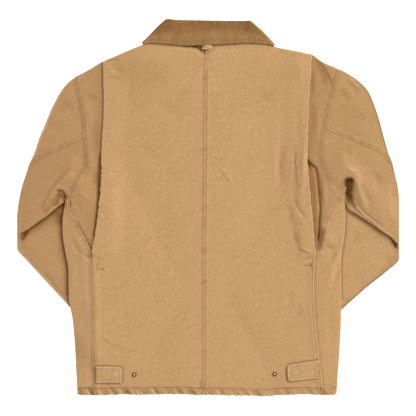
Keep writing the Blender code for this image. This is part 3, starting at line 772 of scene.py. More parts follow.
def crown(plan: Array, half: Half) -> Array:
    """Fullness of the upper layers, which rounds away towards every outer edge."""
    lines = (even(half.edge_line(), np.linspace(0, 1, 60)),
             even(half.body["edge"], np.linspace(0, 1, 30)),
             np.array([[half.body["edge"][-1, 0], HEM_Y], [0.0, HEM_Y]]))
    distance = np.min([nearest(plan, line)[0] for line in lines], axis=0)
    clear_of_collar = smooth((outside(plan, COLLAR_FALL) + 3 * MM) / (32 * MM))
    return CROWN_RISE * smooth(0.12 + distance / CROWN_REACH) * clear_of_collar


def hem_y(x: Array) -> Array:
    """Height up the plan of the hem's slightly wavy edge."""
    return np.interp(x, HEM_LINE[:, 0], HEM_LINE[:, 1])


def linear(colour: str) -> tuple[float, float, float, float]:
    """An sRGB hex colour as linear red, green, blue and alpha."""
    channels = [int(colour[i:i + 2], 16) / 255 for i in (0, 2, 4)]
    return (*(c / 12.92 if c <= 0.04045 else ((c + 0.055) / 1.055) ** 2.4 for c in channels), 1.0)


def feed(tree: bpy.types.NodeTree, node: bpy.types.Node, inputs: dict) -> None:
    """Sets a node's inputs, by name or number: a plain value, or the socket that feeds it."""
    for key, value in inputs.items():
        if isinstance(value, bpy.types.NodeSocket):
            tree.links.new(value, node.inputs[key])
        else:
            node.inputs[key].default_value = value


def add_node(tree: bpy.types.NodeTree, kind: str, out: int | str = 0, settings: dict | None = None,
             inputs: dict | None = None, stops: tuple = ()) -> bpy.types.NodeSocket:
    """Adds a shader node with its settings, input values and links.

    Args:
        tree: the material's node tree.
        kind: node type without its prefix.
        out: name or number of the output that is wanted.
        settings: attributes of the node.
        inputs: by socket name or number, a value or the socket that feeds it.
        stops: rising positions and sRGB hex colours of a colour ramp.

    Returns:
        The wanted output.
    """
    node = tree.nodes.new("ShaderNode" + kind)
    for key, value in (settings or {}).items():
        setattr(node, key, value)
    feed(tree, node, inputs or {})
    for number, (position, colour) in enumerate(stops):
        elements = node.color_ramp.elements
        element = elements[number] if number < 2 else elements.new(position)
        element.position, element.color = position, linear(colour)
    return node.outputs[out]


def started(name: str) -> tuple:
    """A new material, its tree, its shader and its Object coordinates."""
    made = bpy.data.materials.new(name)
    made.use_nodes = True
    tree = made.node_tree
    return made, tree, tree.nodes["Principled BSDF"], add_node(tree, "TexCoord", "Object")


@dataclass(frozen=True)
class WashedDuck:
    """Cotton duck, woven plain with uneven yarns, garment-washed.

    Washing leaves it matt and mottled in soft patches. Ridges and seam edges are paler, partly by
    abrasion and partly by painted highlight, and creases, hollows and the cloth beside higher edges
    are darker by painted shade. Slubs are the thicker stretches of yarn, and flecks the short ones;
    both are drawn two yarns wide so that they show at arm's length. The soil_and_shade mark runs up
    to shade_mark for the shade colour, to one for the crease colour, and above one for the depths of
    folds, where hardly any light comes back; all three colours are painted shade.
    """

    base: str = "CA9E6A"
    deep: str = "BC8F5A"
    pale: str = "D2A876"
    # Painted shade colours, from light to deepest: shade, crease and depth; rubbed_and_lit is abraded
    # cloth and painted highlight
    shade: str = "9A7043"
    crease: str = "6B4214"
    depth: str = "271300"
    rubbed_and_lit: str = "DAB891"
    slub_tones: tuple = ("B1824E", "DEB98A")
    fleck_tones: tuple = ("AF814E", "DFBA8C")
    shade_mark: float = 0.62
    patch: float = 55 * MM
    mottle: float = 9 * MM
    slub: tuple = (15 * MM, 2.3 * MM)
    fleck: tuple = (6.5 * MM, 1.9 * MM)
    yarn: float = 0.9 * MM

    def material(self, name: str) -> bpy.types.Material:
        """Material of the cloth, which reads its slub coordinates and the soil_and_shade and
        wear_and_highlight marks.
        """
        made, tree, shader, place = started(name)
        cloth = add_node(tree, "UVMap", 0, {"uv_map": "cloth"})
        slub, fleck = (
            add_node(tree, "Mapping", 0, None, {"Vector": cloth, "Scale": (1 / long, 1 / wide, 1.0)})
            for long, wide in (self.slub, self.fleck))
        patches, mottles, slubs, flecks = (
            add_node(tree, "TexNoise", 0, None,
                     {"Vector": vector, "Scale": scale, "Detail": detail, "Roughness": rough})
            for vector, scale, detail, rough in (
                (place, 1 / self.patch, 3.0, 0.55), (place, 1 / self.mottle, 4.0, 0.62),
                (slub, 1.0, 3.0, 0.6), (fleck, 1.0, 2.0, 0.6)))
        colour, mottled, slubbed, flecked = (
            add_node(tree, "ValToRGB", 0, None, {0: noise}, stops) for noise, stops in (
                (patches, ((0.25, self.deep), (0.5, self.base), (0.8, self.pale))),
                (mottles, ((0.3, self.deep), (0.7, self.pale))),
                (slubs, ((0.32, self.slub_tones[0]), (0.5, self.base), (0.68, self.slub_tones[1]))),
                (flecks, ((0.35, self.fleck_tones[0]), (0.65, self.fleck_tones[1])))))
        soil_and_shade, wear_and_highlight = (add_node(tree, "Attribute", "Fac", {"attribute_name": mark})
                      for mark in ("soil_and_shade", "wear_and_highlight"))
        rest = 1 - self.shade_mark
        shaded, creased, deepened = (
            add_node(tree, "Math", 0, {"operation": "MULTIPLY_ADD"}, {0: soil_and_shade, 1: factor, 2: start})
            for factor, start in ((1 / self.shade_mark, 0.0), (1 / rest, -self.shade_mark / rest),
                                  (1.0, -1.0)))
        # Mottles, slubs and flecks, then abrasion and painted highlight, then painted shade in three
        # steps
        for share, over in ((0.5, mottled), (0.38, slubbed), (0.34, flecked),
                            (wear_and_highlight, linear(self.rubbed_and_lit)), (shaded, linear(self.shade)),
                            (creased, linear(self.crease)), (deepened, linear(self.depth))):
            colour = add_node(tree, "Mix", 2, {"data_type": "RGBA"}, {0: share, 6: colour, 7: over})
        weave = add_node(tree, "TexWave", "Fac", {"wave_type": "BANDS", "bands_direction": "DIAGONAL"},
                         {"Vector": cloth, "Scale": 0.5 / self.yarn, "Distortion": 2.5, "Detail": 2.0,
                          "Detail Scale": 2.0})
        relief = add_node(tree, "Math", 0, {"operation": "MULTIPLY_ADD"}, {0: slubs, 1: 0.7, 2: weave})
        bump = add_node(tree, "Bump", 0, None, {"Strength": 0.5, "Distance": 0.35 * MM, "Height": relief})
        feed(tree, shader, {"Base Color": colour, "Normal": bump, "Roughness": 0.92,
                            "Specular IOR Level": 0.18, "Sheen Weight": 0.08, "Sheen Roughness": 0.6})
        return made


@dataclass(frozen=True)
class CutCorduroy:
    """Cotton corduroy of about seven wales to the inch, cut pile abraded low by washing.

    The colour ramp over each wale paints shade in its valley and a highlight on its top. Tufts of
    pile are brushed together about a wale wide and twice as long up the collar.
    """

    # Wale colours from the valley up: painted shade, the pile's own colour, painted highlight; then
    # abraded pile with painted highlight, and dirt with painted shade
    valley: str = "82562A"
    pile: str = "9C7141"
    crown: str = "A87D4C"
    worn_and_lit: str = "BB9463"
    soiled_and_shaded: str = "3E2510"
    sheen: str = "C79E6C"
    tuft_tones: tuple = ("7A4F24", "C0966A")
    patch_tones: tuple = ("865A2C", "AE8250")
    patch: float = 22 * MM
    tuft: tuple = (3.4 * MM, 7 * MM)

    def material(self, name: str) -> bpy.types.Material:
        """Material of the collar, which reads the wale, soil_and_shade and wear_and_highlight marks."""
        made, tree, shader, place = started(name)
        wales, soil_and_shade, wear_and_highlight = (add_node(tree, "Attribute", "Fac", {"attribute_name": mark})
                             for mark in ("wale", "soil_and_shade", "wear_and_highlight"))
        wide, long = self.tuft
        brushed = add_node(tree, "Mapping", 0, None,
                           {"Vector": place, "Scale": (1 / wide, 1 / long, 1 / long)})
        patches, tufts = (
            add_node(tree, "TexNoise", 0, None,
                     {"Vector": vector, "Scale": scale, "Detail": detail, "Roughness": rough})
            for vector, scale, detail, rough in (
                (place, 1 / self.patch, 4.0, 0.65), (brushed, 1.0, 3.0, 0.7)))
        colour, tufted, patched = (
            add_node(tree, "ValToRGB", 0, None, {0: value}, stops) for value, stops in (
                (wales, ((0.05, self.valley), (0.6, self.pile), (1.0, self.crown))),
                (tufts, ((0.34, self.tuft_tones[0]), (0.66, self.tuft_tones[1]))),
                (patches, ((0.34, self.patch_tones[0]), (0.68, self.patch_tones[1])))))
        for share, over in ((0.5, tufted), (0.3, patched), (wear_and_highlight, linear(self.worn_and_lit)),
                            (soil_and_shade, linear(self.soiled_and_shaded))):
            colour = add_node(tree, "Mix", 2, {"data_type": "RGBA"}, {0: share, 6: colour, 7: over})
        bump = add_node(tree, "Bump", 0, None, {"Strength": 0.6, "Distance": 0.5 * MM, "Height": tufts})
        feed(tree, shader, {"Base Color": colour, "Normal": bump, "Roughness": 0.95,
                            "Specular IOR Level": 0.12, "Sheen Weight": 0.25, "Sheen Roughness": 0.5,
                            "Sheen Tint": linear(self.sheen)})
        return made


@dataclass(frozen=True)
class SpunThread:
    """Polyester-cotton sewing thread, spun, slightly glossy, with a tone that varies as it twists."""

    shade: str = "9C7242"
    light: str = "C99E6A"
    strand: float = 2.2 * MM

    def material(self, name: str) -> bpy.types.Material:
        """Material of the stitches."""
        made, tree, shader, place = started(name)
        strands = add_node(tree, "TexNoise", 0, None, {"Vector": place, "Scale": 1 / self.strand,
                                                       "Detail": 2.0, "Roughness": 0.6})
        colour = add_node(tree, "ValToRGB", 0, None, {0: strands}, ((0.3, self.shade), (0.7, self.light)))
        bump = add_node(tree, "Bump", 0, None, {"Strength": 0.4, "Distance": 0.1 * MM, "Height": strands})
        feed(tree, shader, {"Base Color": colour, "Normal": bump, "Roughness": 0.6,
                            "Specular IOR Level": 0.3})
        return made


@dataclass(frozen=True)
class AgedBrass:
    """Brass snap parts, stamped and chemically darkened, abraded to bare brass on their rims, with a
    painted highlight at the stud's centre.
    """

    dark: str = "3A1F06"
    spot: str = "4F2E0E"
    rubbed_and_glint: str = "F2D6A4"
    blotch: float = 2.4 * MM

    def material(self, name: str) -> bpy.types.Material:
        """Material of the snap parts."""
        made, tree, shader, place = started(name)
        blotches = add_node(tree, "TexNoise", 0, None, {"Vector": place, "Scale": 1 / self.blotch,
                                                        "Detail": 4.0, "Roughness": 0.6})
        spots = add_node(tree, "ValToRGB", 0, None, {0: blotches}, ((0.35, self.dark), (0.75, self.spot)))
        wear_and_highlight = add_node(tree, "Attribute", "Fac", {"attribute_name": "wear_and_highlight"})
        colour = add_node(tree, "Mix", 2, {"data_type": "RGBA"},
                          {0: wear_and_highlight, 6: spots, 7: linear(self.rubbed_and_glint)})
        rough = add_node(tree, "MapRange", 0, None, {"Value": blotches, "From Min": 0.3, "From Max": 0.7,
                                                     "To Min": 0.32, "To Max": 0.55})
        feed(tree, shader, {"Base Color": colour, "Roughness": rough, "Metallic": 0.25})
        return made


@dataclass
class Relief:
    """Everything that shapes one piece beyond its level: laps, covered edges, creases and dents."""

    laps: list
    covered: list
    folds: tuple
    tone: float
    dent: float
    seed: int

    def at(self, plan: Array) -> tuple[Array, Array, Array]:
        """Height, soil_and_shade and wear_and_highlight at plan points of any grid shape."""
        flat = plan.reshape(-1, 2)
        height = self.dent * dents(flat, self.seed)
        soil_and_shade, wear_and_highlight = np.full(len(flat), self.tone), np.zeros(len(flat))
        for seam in self.laps:
            seam.add_lap(flat, height, soil_and_shade, wear_and_highlight)
        for seam in self.covered:
            seam.add_under(flat, height, soil_and_shade, wear_and_highlight)
        for fold in self.folds:
            fold.add_to(flat, height, soil_and_shade, wear_and_highlight)
        shape = plan.shape[:-1]
        return height.reshape(shape), soil_and_shade.reshape(shape), wear_and_highlight.reshape(shape)


def grid_faces(rows: int, columns: int, closed: bool = False) -> Array:
    """Quads over a grid of points, closed across if its last column meets its first."""
    index = np.arange(rows * columns).reshape(rows, columns)
    if closed:
        index = np.concatenate([index, index[:, :1]], axis=1)
    corners = index[:-1, :-1], index[:-1, 1:], index[1:, 1:], index[1:, :-1]
    return np.stack(corners, axis=-1).reshape(-1, 4)


def new_object(name: str, vertices: Array, faces: Array,
               material: bpy.types.Material) -> bpy.types.Object:
    """Adds a smooth-shaded mesh of equal-sided faces to the scene."""
    mesh = bpy.data.meshes.new(name)
    count, sides = faces.shape
    mesh.vertices.add(len(vertices))
    mesh.vertices.foreach_set("co", vertices.astype(np.float32).ravel())
    mesh.loops.add(count * sides)
    mesh.loops.foreach_set("vertex_index", faces.astype(np.int32).ravel())
    mesh.polygons.add(count)
    mesh.polygons.foreach_set("loop_start", np.arange(0, count * sides, sides, dtype=np.int32))
    mesh.update(calc_edges=True)
    mesh.validate()
    mesh.shade_smooth()
    mesh.materials.append(material)
    made = bpy.data.objects.new(name, mesh)
    bpy.context.scene.collection.objects.link(made)
    return made


def set_attribute(made: bpy.types.Object, name: str, values: Array) -> None:
    """Stores one number for each vertex of the piece."""
    layer = made.data.attributes.new(name, "FLOAT", "POINT")
    layer.data.foreach_set("value", values.astype(np.float32).ravel())


def set_cloth_coordinates(made: bpy.types.Object, across: Array, along: Array) -> None:
    """Stores the places on the flat cloth, in metres, as the piece's UV map."""
    mesh = made.data
    corner = np.zeros(len(mesh.loops), dtype=np.int32)
    mesh.loops.foreach_get("vertex_index", corner)
    places = np.stack([across.ravel(), along.ravel()], axis=1)[corner]
    layer = mesh.uv_layers.new(name="cloth")
    layer.uv.foreach_set("vector", places.astype(np.float32).ravel())


@dataclass
class Sheet:
    """A cut piece of cloth laid on a grid of points, with its tones.

    Attributes:
        name: of the piece, which is the CAD node's name.
        grid: middle of the ply, (rows, columns, 3).
        soil_and_shade: darkness at each point: painted shade in creases, hollows and beside higher edges,
            and the piece's tone.
        wear_and_highlight: paleness at each point: abrasion, and painted highlight on lit edges and
            ridges.
        ply: thickness of the cloth.
        streaks: direction of the slubs in plan, in degrees from +X.
    """

    name: str
    grid: Array
    soil_and_shade: Array
    wear_and_highlight: Array
    ply: float = DUCK_PLY
    streaks: float = -42.0

    def build(self, material: bpy.types.Material, slot: str) -> bpy.types.Object:
        """Adds the sheet with its wall to the scene in place of its CAD node.

        Args:
            material: finish of the piece.
            slot: not used.

        Returns:
            The piece.
        """
        grid = self.grid
        faces = grid_faces(*grid.shape[:2])
        if np.sum(np.cross(np.gradient(grid, axis=1), np.gradient(grid, axis=0))[..., 2]) > 0:
            faces = faces[:, ::-1]
        made = new_object(self.name + "_cloth", grid.reshape(-1, 3), faces, material)
        cos, sin = math.cos(math.radians(self.streaks)), math.sin(math.radians(self.streaks))
        x, y, z = (grid[..., k] for k in range(3))
        set_cloth_coordinates(made, x * cos + y * sin, y * cos - x * sin + z)
        set_attribute(made, "soil_and_shade", np.clip(self.soil_and_shade, 0.0, 1.9))
        set_attribute(made, "wear_and_highlight", np.clip(self.wear_and_highlight, 0.0, 0.8))
        wall = made.modifiers.new("ply", "SOLIDIFY")
        wall.thickness = self.ply
        wall.offset = 0.0
        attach(made, "root")
        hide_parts(self.name)
        return made


def rolled(edge: Array, inward: Array, high: Array, low: Array, depth: Array, turn: tuple,
           count: int) -> Array:
    """Points round a folded edge, along an ellipse from the top layer to the one below.

    Args:
        edge: plan points of the outermost line of the fold.
        inward: plan directions away from it.
        high: height of the top layer's middle.
        low: height of the lower layer's middle.
        depth: half axis of the ellipse in plan.
        turn: first and last angle in degrees, 90 on top and -90 below.
        count: number of points.

    Returns:
        (edge points, count, 3) array.
    """
    angles = np.radians(np.linspace(*turn, count))[None, :]
    inset = 0.5 * DUCK_PLY + depth[:, None] * (1 - np.cos(angles))
    plan = edge[:, None, :] + inward[:, None, :] * inset[..., None]
    middle, half = 0.5 * (high + low)[:, None], 0.5 * (high - low)[:, None]
    return raised(plan, middle + half * np.sin(angles))


class Border(Enum):
    """A border of a grid: which axis runs away from it, and whether it is the last on it."""

    FIRST_ROW = (0, False)
    FIRST_COLUMN = (1, False)
    LAST_COLUMN = (1, True)


def extended(plan: Array, border: Border, distance: float | Array, count: int) -> Array:
    """Adds cloth straight on past a border.

    Args:
        plan: (rows, columns, 2) grid.
        border: where to add.
        distance: how far, as one number or one for each point of the border.
        count: rows or columns to add.

    Returns:
        The larger grid.
    """
    axis, last = border.value
    lines = np.moveaxis(plan, axis, 0)
    lines = lines[::-1] if last else lines
    outward = unit(lines[0] - lines[2]) * np.reshape(distance, (-1, 1))
    steps = np.linspace(1.0, 0.0, count, endpoint=False)[:, None, None]
    lines = np.concatenate([lines[0] + outward * steps, lines])
    return np.moveaxis(lines[::-1] if last else lines, 0, axis)


def hem_relief(plan: Array) -> tuple[Array, Array, Array]:
    """Height, soil_and_shade and wear_and_highlight of the turned hem: a double ply, a row of stitches
    and roping.

    The roping is a slanted ridge every few millimetres that is strongest between the stitches
    and the edge; above the stitches the cloth puckers a little.
    """
    above = plan[..., 1] - hem_y(plan[..., 0])
    band = fade(above, HEM_DEPTH - 0.5 * MM, HEM_DEPTH + 1.5 * MM)
    slanted = plan[..., 0] + 0.75 * above
    strength = np.interp(plan[..., 0], mm(-280, -90, 60, 270), [1.5, 1.2, 0.8, 0.7])
    ropes = strength * noise(slanted, 2.3, above, 30, 31)
    fine = noise(slanted, 3.1, above, 11, 33)
    spread = bell(above - 6 * MM, 7)
    groove = bell(above - HEM_DEPTH, 1.0)
    lip = bell(above - HEM_DEPTH - 2.3 * MM, 1.1)
    height = 0.4 * MM * band + (0.8 * ropes + 0.35 * fine) * MM * spread
    height = height - 0.3 * MM * groove + 0.3 * MM * (1 + fine) * lip
    # Painted shade in the stitch groove, just below it and in the troughs between the ropes; the ropes'
    # tops and the lip above the stitches are paler, abrasion and painted highlight
    soil_and_shade = 0.62 * groove * (0.8 + 0.5 * fine) + spread * (0.04 + 0.8 * np.clip(-ropes, 0, 1))
    soil_and_shade = soil_and_shade + 0.1 * bell(above - HEM_DEPTH + 3 * MM, 2.2)
    wear_and_highlight = spread * (0.75 * np.clip(ropes, 0, 1) + 0.25 * np.clip(fine, 0, 1))
    wear_and_highlight = wear_and_highlight + 0.34 * lip * (0.8 + 0.4 * fine)
    return height, np.maximum(soil_and_shade, 0.0), np.maximum(wear_and_highlight, 0.0)


@dataclass
class Panel:
    """A cut piece of duck of one half of the jacket.

    Attributes:
        half: the half's outlines.
        seams: lapped seams by name.
        folds: its creases.
        tone: how much darker than the middle of the back it is, partly its own shade of cloth and partly
            painted shade for how it lies to the light.
        laps: names of the seams along which it lies on top.
        covered: names of the seams along which it runs under.
        hemmed: whether it ends in the hem.
        dent: depth of its unevenness.
        seed: of that unevenness.
    """

    half: Half
    seams: dict[str, Seam]
    folds: tuple
    tone: float
    laps: tuple = ()
    covered: tuple = ()
    hemmed: bool = False
    dent: float = 0.2 * MM
    seed: int = 0

    def __post_init__(self) -> None:
        """Sets up what shapes the piece beyond its level."""
        laps, covered = ([self.seams[key] for key in keys] for keys in (self.laps, self.covered))
        self.relief = Relief(laps, covered, self.folds, self.tone, self.dent, self.seed)

    def level(self, plan: Array) -> Array:
        """Height without creases: the layers below and the crown."""
        return UPPER_LEVEL + lift(plan) + crown(plan, self.half)

    def shaped(self, plan: Array) -> tuple[Array, Array, Array]:
        """Points in space, soil_and_shade and wear_and_highlight of the upper layer at plan points."""
        marks = self.relief.at(plan)
        if self.hemmed:
            marks = [own + hem for own, hem in zip(marks, hem_relief(plan))]
        return raised(plan, self.level(plan) + marks[0]), marks[1], marks[2]

    def height(self, plan: Array) -> Array:
        """Height of the ply's middle at plan points."""
        return self.shaped(plan)[0][..., 2]


def shoulder_roll(first: Array, depth: Array, low: Array) -> Array:
    """Rows of cloth that roll over the shoulder and down towards the front, ahead of a sheet's.

    Args:
        first: the sheet's first row.
        depth: half axis of the roll in plan.
        low: height that it rolls down towards.

    Returns:
        Six rows of points.
    """
    edge = first[:, :2] + np.array([0.0, 1.0]) * (0.5 * DUCK_PLY + depth)[:, None]
    roll = rolled(edge, np.array([[0.0, -1.0]]) + 0 * edge, first[:, 2], low, depth, TURNED_DOWN, 7)
    return roll[:, 1:].transpose(1, 0, 2)[::-1]


@dataclass
class BackPanel(Panel):
    """Half back: folded under along its pleat and side seam, lapped at the centre."""

    laps: tuple = ("lower",)
    covered: tuple = ("centre",)
    hemmed: bool = True
    seed: int = 21
    seam_reach: float = 90 * MM
    breadth: float = 222 * MM

    def __post_init__(self) -> None:
        """Sets up the fold line, and puts the right back on top at the centre."""
        if self.half is RIGHT:
            self.laps, self.covered = ("lower", "centre"), ()
        self.seed += int(self.half.sign)
        super().__post_init__()
        rows = even_rows(self.half.fold, np.linspace(0, 1, 90))
        self.fold_line, self.fold_pleated = read(self.half.fold, rows), self.pleated(rows)

    def pleated(self, rows: Array) -> Array:
        """One along the pleat, nought along the side seam."""
        return 1 - smooth((rows - (PLEAT_ROWS - 1)) / 1.6)

    def level(self, plan: Array) -> Array:
        """Height without creases: layers below, crown, and the rise along the folded edge."""
        distance, _, along = nearest(plan, self.fold_line)
        pleated = np.interp(along, reach(self.fold_line), self.fold_pleated)
        seam_rise = (SIDE_SEAM_RISE - self.seams["lower"].rise) * fade(distance, 7 * MM, 16 * MM)
        rise = pleated * PLEAT_RISE * fade(distance, 20 * MM, 62 * MM) + (1 - pleated) * seam_rise
        spread = pleated + (1 - pleated) * smooth(distance / self.seam_reach)
        held = lift(plan) + (soft_lift(plan) - lift(plan)) * spread
        return UPPER_LEVEL + held + crown(plan, self.half) + rise

    def sheet(self) -> Sheet:
        """Works out the panel: tuck, folded edge, then the top from the fold to the centre."""
        half = self.half
        rows = even_rows(half.fold, shares_of(0.78, 0.0, 16 * MM, 1.3 * MM, 2.7 * MM))
        fold, pleated = read(half.fold, rows), self.pleated(rows)
        ripple = noise(fold[:, 1], 4.6, fold[:, 1], 40, 51)
        ragged = fade(fold[:, 1], 60 * MM, 200 * MM) if half is LEFT else 0.6
        fold[:, 0] += (0.6 + 1.3 * ragged) * MM * ripple * pleated
        v = reach(fold) / reach(fold)[-1]
        u = shares_of(self.breadth, 13 * MM, 14 * MM, 0.85 * MM, 2.6 * MM)
        centre_y = NECK_Y + (HEM_Y - NECK_Y) * v
        lap_x = np.interp(-centre_y, -CENTRE_LAP[:, 1], CENTRE_LAP[:, 0])
        centre = np.stack([lap_x + (0.0 if half is RIGHT else COVERED), centre_y], axis=1)
        border = np.concatenate([half.shoulder[2:], [[centre[0, 0], NECK_Y]]])
        border = border[np.argsort(border[:, 0])]
        top_x = fold[0, 0] + (centre[0, 0] - fold[0, 0]) * u
        top = np.stack([top_x, np.interp(top_x, border[:, 0], border[:, 1])], axis=1)
        depth = 3.2 * MM * fade(u * self.breadth, 60 * MM, 120 * MM) + 0.3 * MM
        inner_top = top - np.array([0.0, 1.0]) * (0.5 * DUCK_PLY + depth)[:, None]
        turn = PLEAT_TURN * pleated + SEAM_TURN * (1 - pleated)
        inward = np.array([-half.sign, 0.0])[None] + 0 * fold
        start = fold + inward * (0.5 * DUCK_PLY + 1.3 * turn)[:, None]
        start[0] = inner_top[0] + inward[0] * (0.5 * DUCK_PLY + 1.3 * turn[0])
        hem = start[-1] + (centre[-1] - start[-1]) * u[:, None]
        centre[0] = inner_top[-1]
        plan = coons(inner_top, hem, start, centre, u, v)
        ripple = 0.9 * MM * noise(plan[..., 0], 5.5, 0 * plan[..., 0], 1, 9)
        plan[..., 1] += (hem_y(plan[..., 0]) - HEM_Y + ripple) * fade(plan[..., 1] - HEM_Y, 0.0, 40 * MM)
        body, soil_and_shade, wear_and_highlight = self.shaped(plan)
        high = body[:, 0, 2]
        edge = np.concatenate([top[:1], fold[1:]])
        turned = rolled(edge, inward, high, high - 2 * turn, 1.3 * turn, FOLDED, 8)[:, 1:]
        tuck = PLEAT_TUCK * pleated + SEAM_TUCK * (1 - pleated)
        steps = np.linspace(0.0, 1.0, 8)[None, 1:, None]
        under = turned[:, -1:] + raised(inward * tuck[:, None], 0.0)[:, None] * steps
        grid = np.concatenate([under[:, ::-1], turned[:, ::-1], body], axis=1)
        hidden = grid.shape[1] - body.shape[1]
        soil_and_shade, wear_and_highlight = carried(soil_and_shade, 6, hidden), carried(wear_and_highlight, 6, hidden)
        # Painted highlight along the pleat's fold, partly abrasion of the fold
        wear_and_highlight[:, hidden - 4:hidden + 1] += 0.16 * carried(pleated[:, None], 6)
        first = grid[0]
        depth = np.concatenate([np.full(hidden, 0.3 * MM), depth])
        low = FRONT_LEVEL + lift(first[:, :2]) + ROLL_REST
        roll = shoulder_roll(first, depth, np.where(depth > 0.6 * MM, low, first[:, 2] - 0.6 * MM))
        return Sheet("back_" + half.name, np.concatenate([roll, grid]), soil_and_shade, wear_and_highlight)


@dataclass
class SideBack(Panel):
    """Side back: from the armhole and side seam to under the pleat, narrowing to a tip."""

    laps: tuple = ("armhole",)
    covered: tuple = ("side",)
    seed: int = 41
    shoulder_depth: float = 3.2 * MM

    def sheet(self) -> Sheet:
        """Works out the piece on a grid from its outer seams inwards."""
        half = self.half
        outer_line = np.concatenate([half.shoulder[:1], half.sleeve["seam"][:SEAM_START], half.armhole,
                                     half.body["seam"][:TIP], half.pleat[PLEAT_ROWS - 1:PLEAT_ROWS]])
        inward = np.array([-half.sign, 0.0])
        hidden = half.pleat[:PLEAT_ROWS] + inward * STRIP_REACH
        hidden[-1] = half.pleat[PLEAT_ROWS - 1] + inward * SEAM_TUCK
        hidden[0, 1] = half.shoulder[3, 1] - STRIP_TOP_DROP
        v = shares_of(0.47, 0.0, 0.0, 2 * MM, 2.2 * MM)
        u = shares_of(70 * MM, 14 * MM, 0.0, 0.75 * MM, 2.2 * MM)
        outer, inner = even(outer_line, v), even(hidden, v)
        top = even(np.concatenate([half.shoulder[:3], inner[:1]]), u)
        drop = np.array([0.0, -1.0]) * (0.5 * DUCK_PLY + self.shoulder_depth)
        dropped = drop * (1 - v)[:, None] ** 8
        tip = outer[-1] + (inner[-1] - outer[-1]) * u[:, None]
        plan = coons(top + drop, tip, outer + dropped, inner + dropped, u, v)
        corner = max(half.armhole_lap, 3.2 * MM)
        lap = np.interp(outer[:, 1], mm(0, 26, 44, 50), [COVERED, corner, corner, half.armhole_lap])
        lap = np.where(v < 0.5, half.armhole_lap, lap) * fade(v, 0.93, 1.0)
        grid, soil_and_shade, wear_and_highlight = self.shaped(extended(plan, Border.FIRST_COLUMN, lap, 5))
        first = grid[0]
        low = FRONT_LEVEL + lift(first[:, :2] - drop) + ROLL_REST
        grid = np.concatenate([shoulder_roll(first, np.full(len(first), self.shoulder_depth), low), grid])
        distance, _, along = nearest(grid[..., :2], half.pleat)
        shade = 0.3 * np.exp(-distance / (11 * MM)) * np.interp(along, [0, 0.2, 0.4], [0.6, 0.9, 1.2])
        return Sheet("side_back_" + half.name, grid, carried(soil_and_shade, 6) + shade, carried(wear_and_highlight, 6))


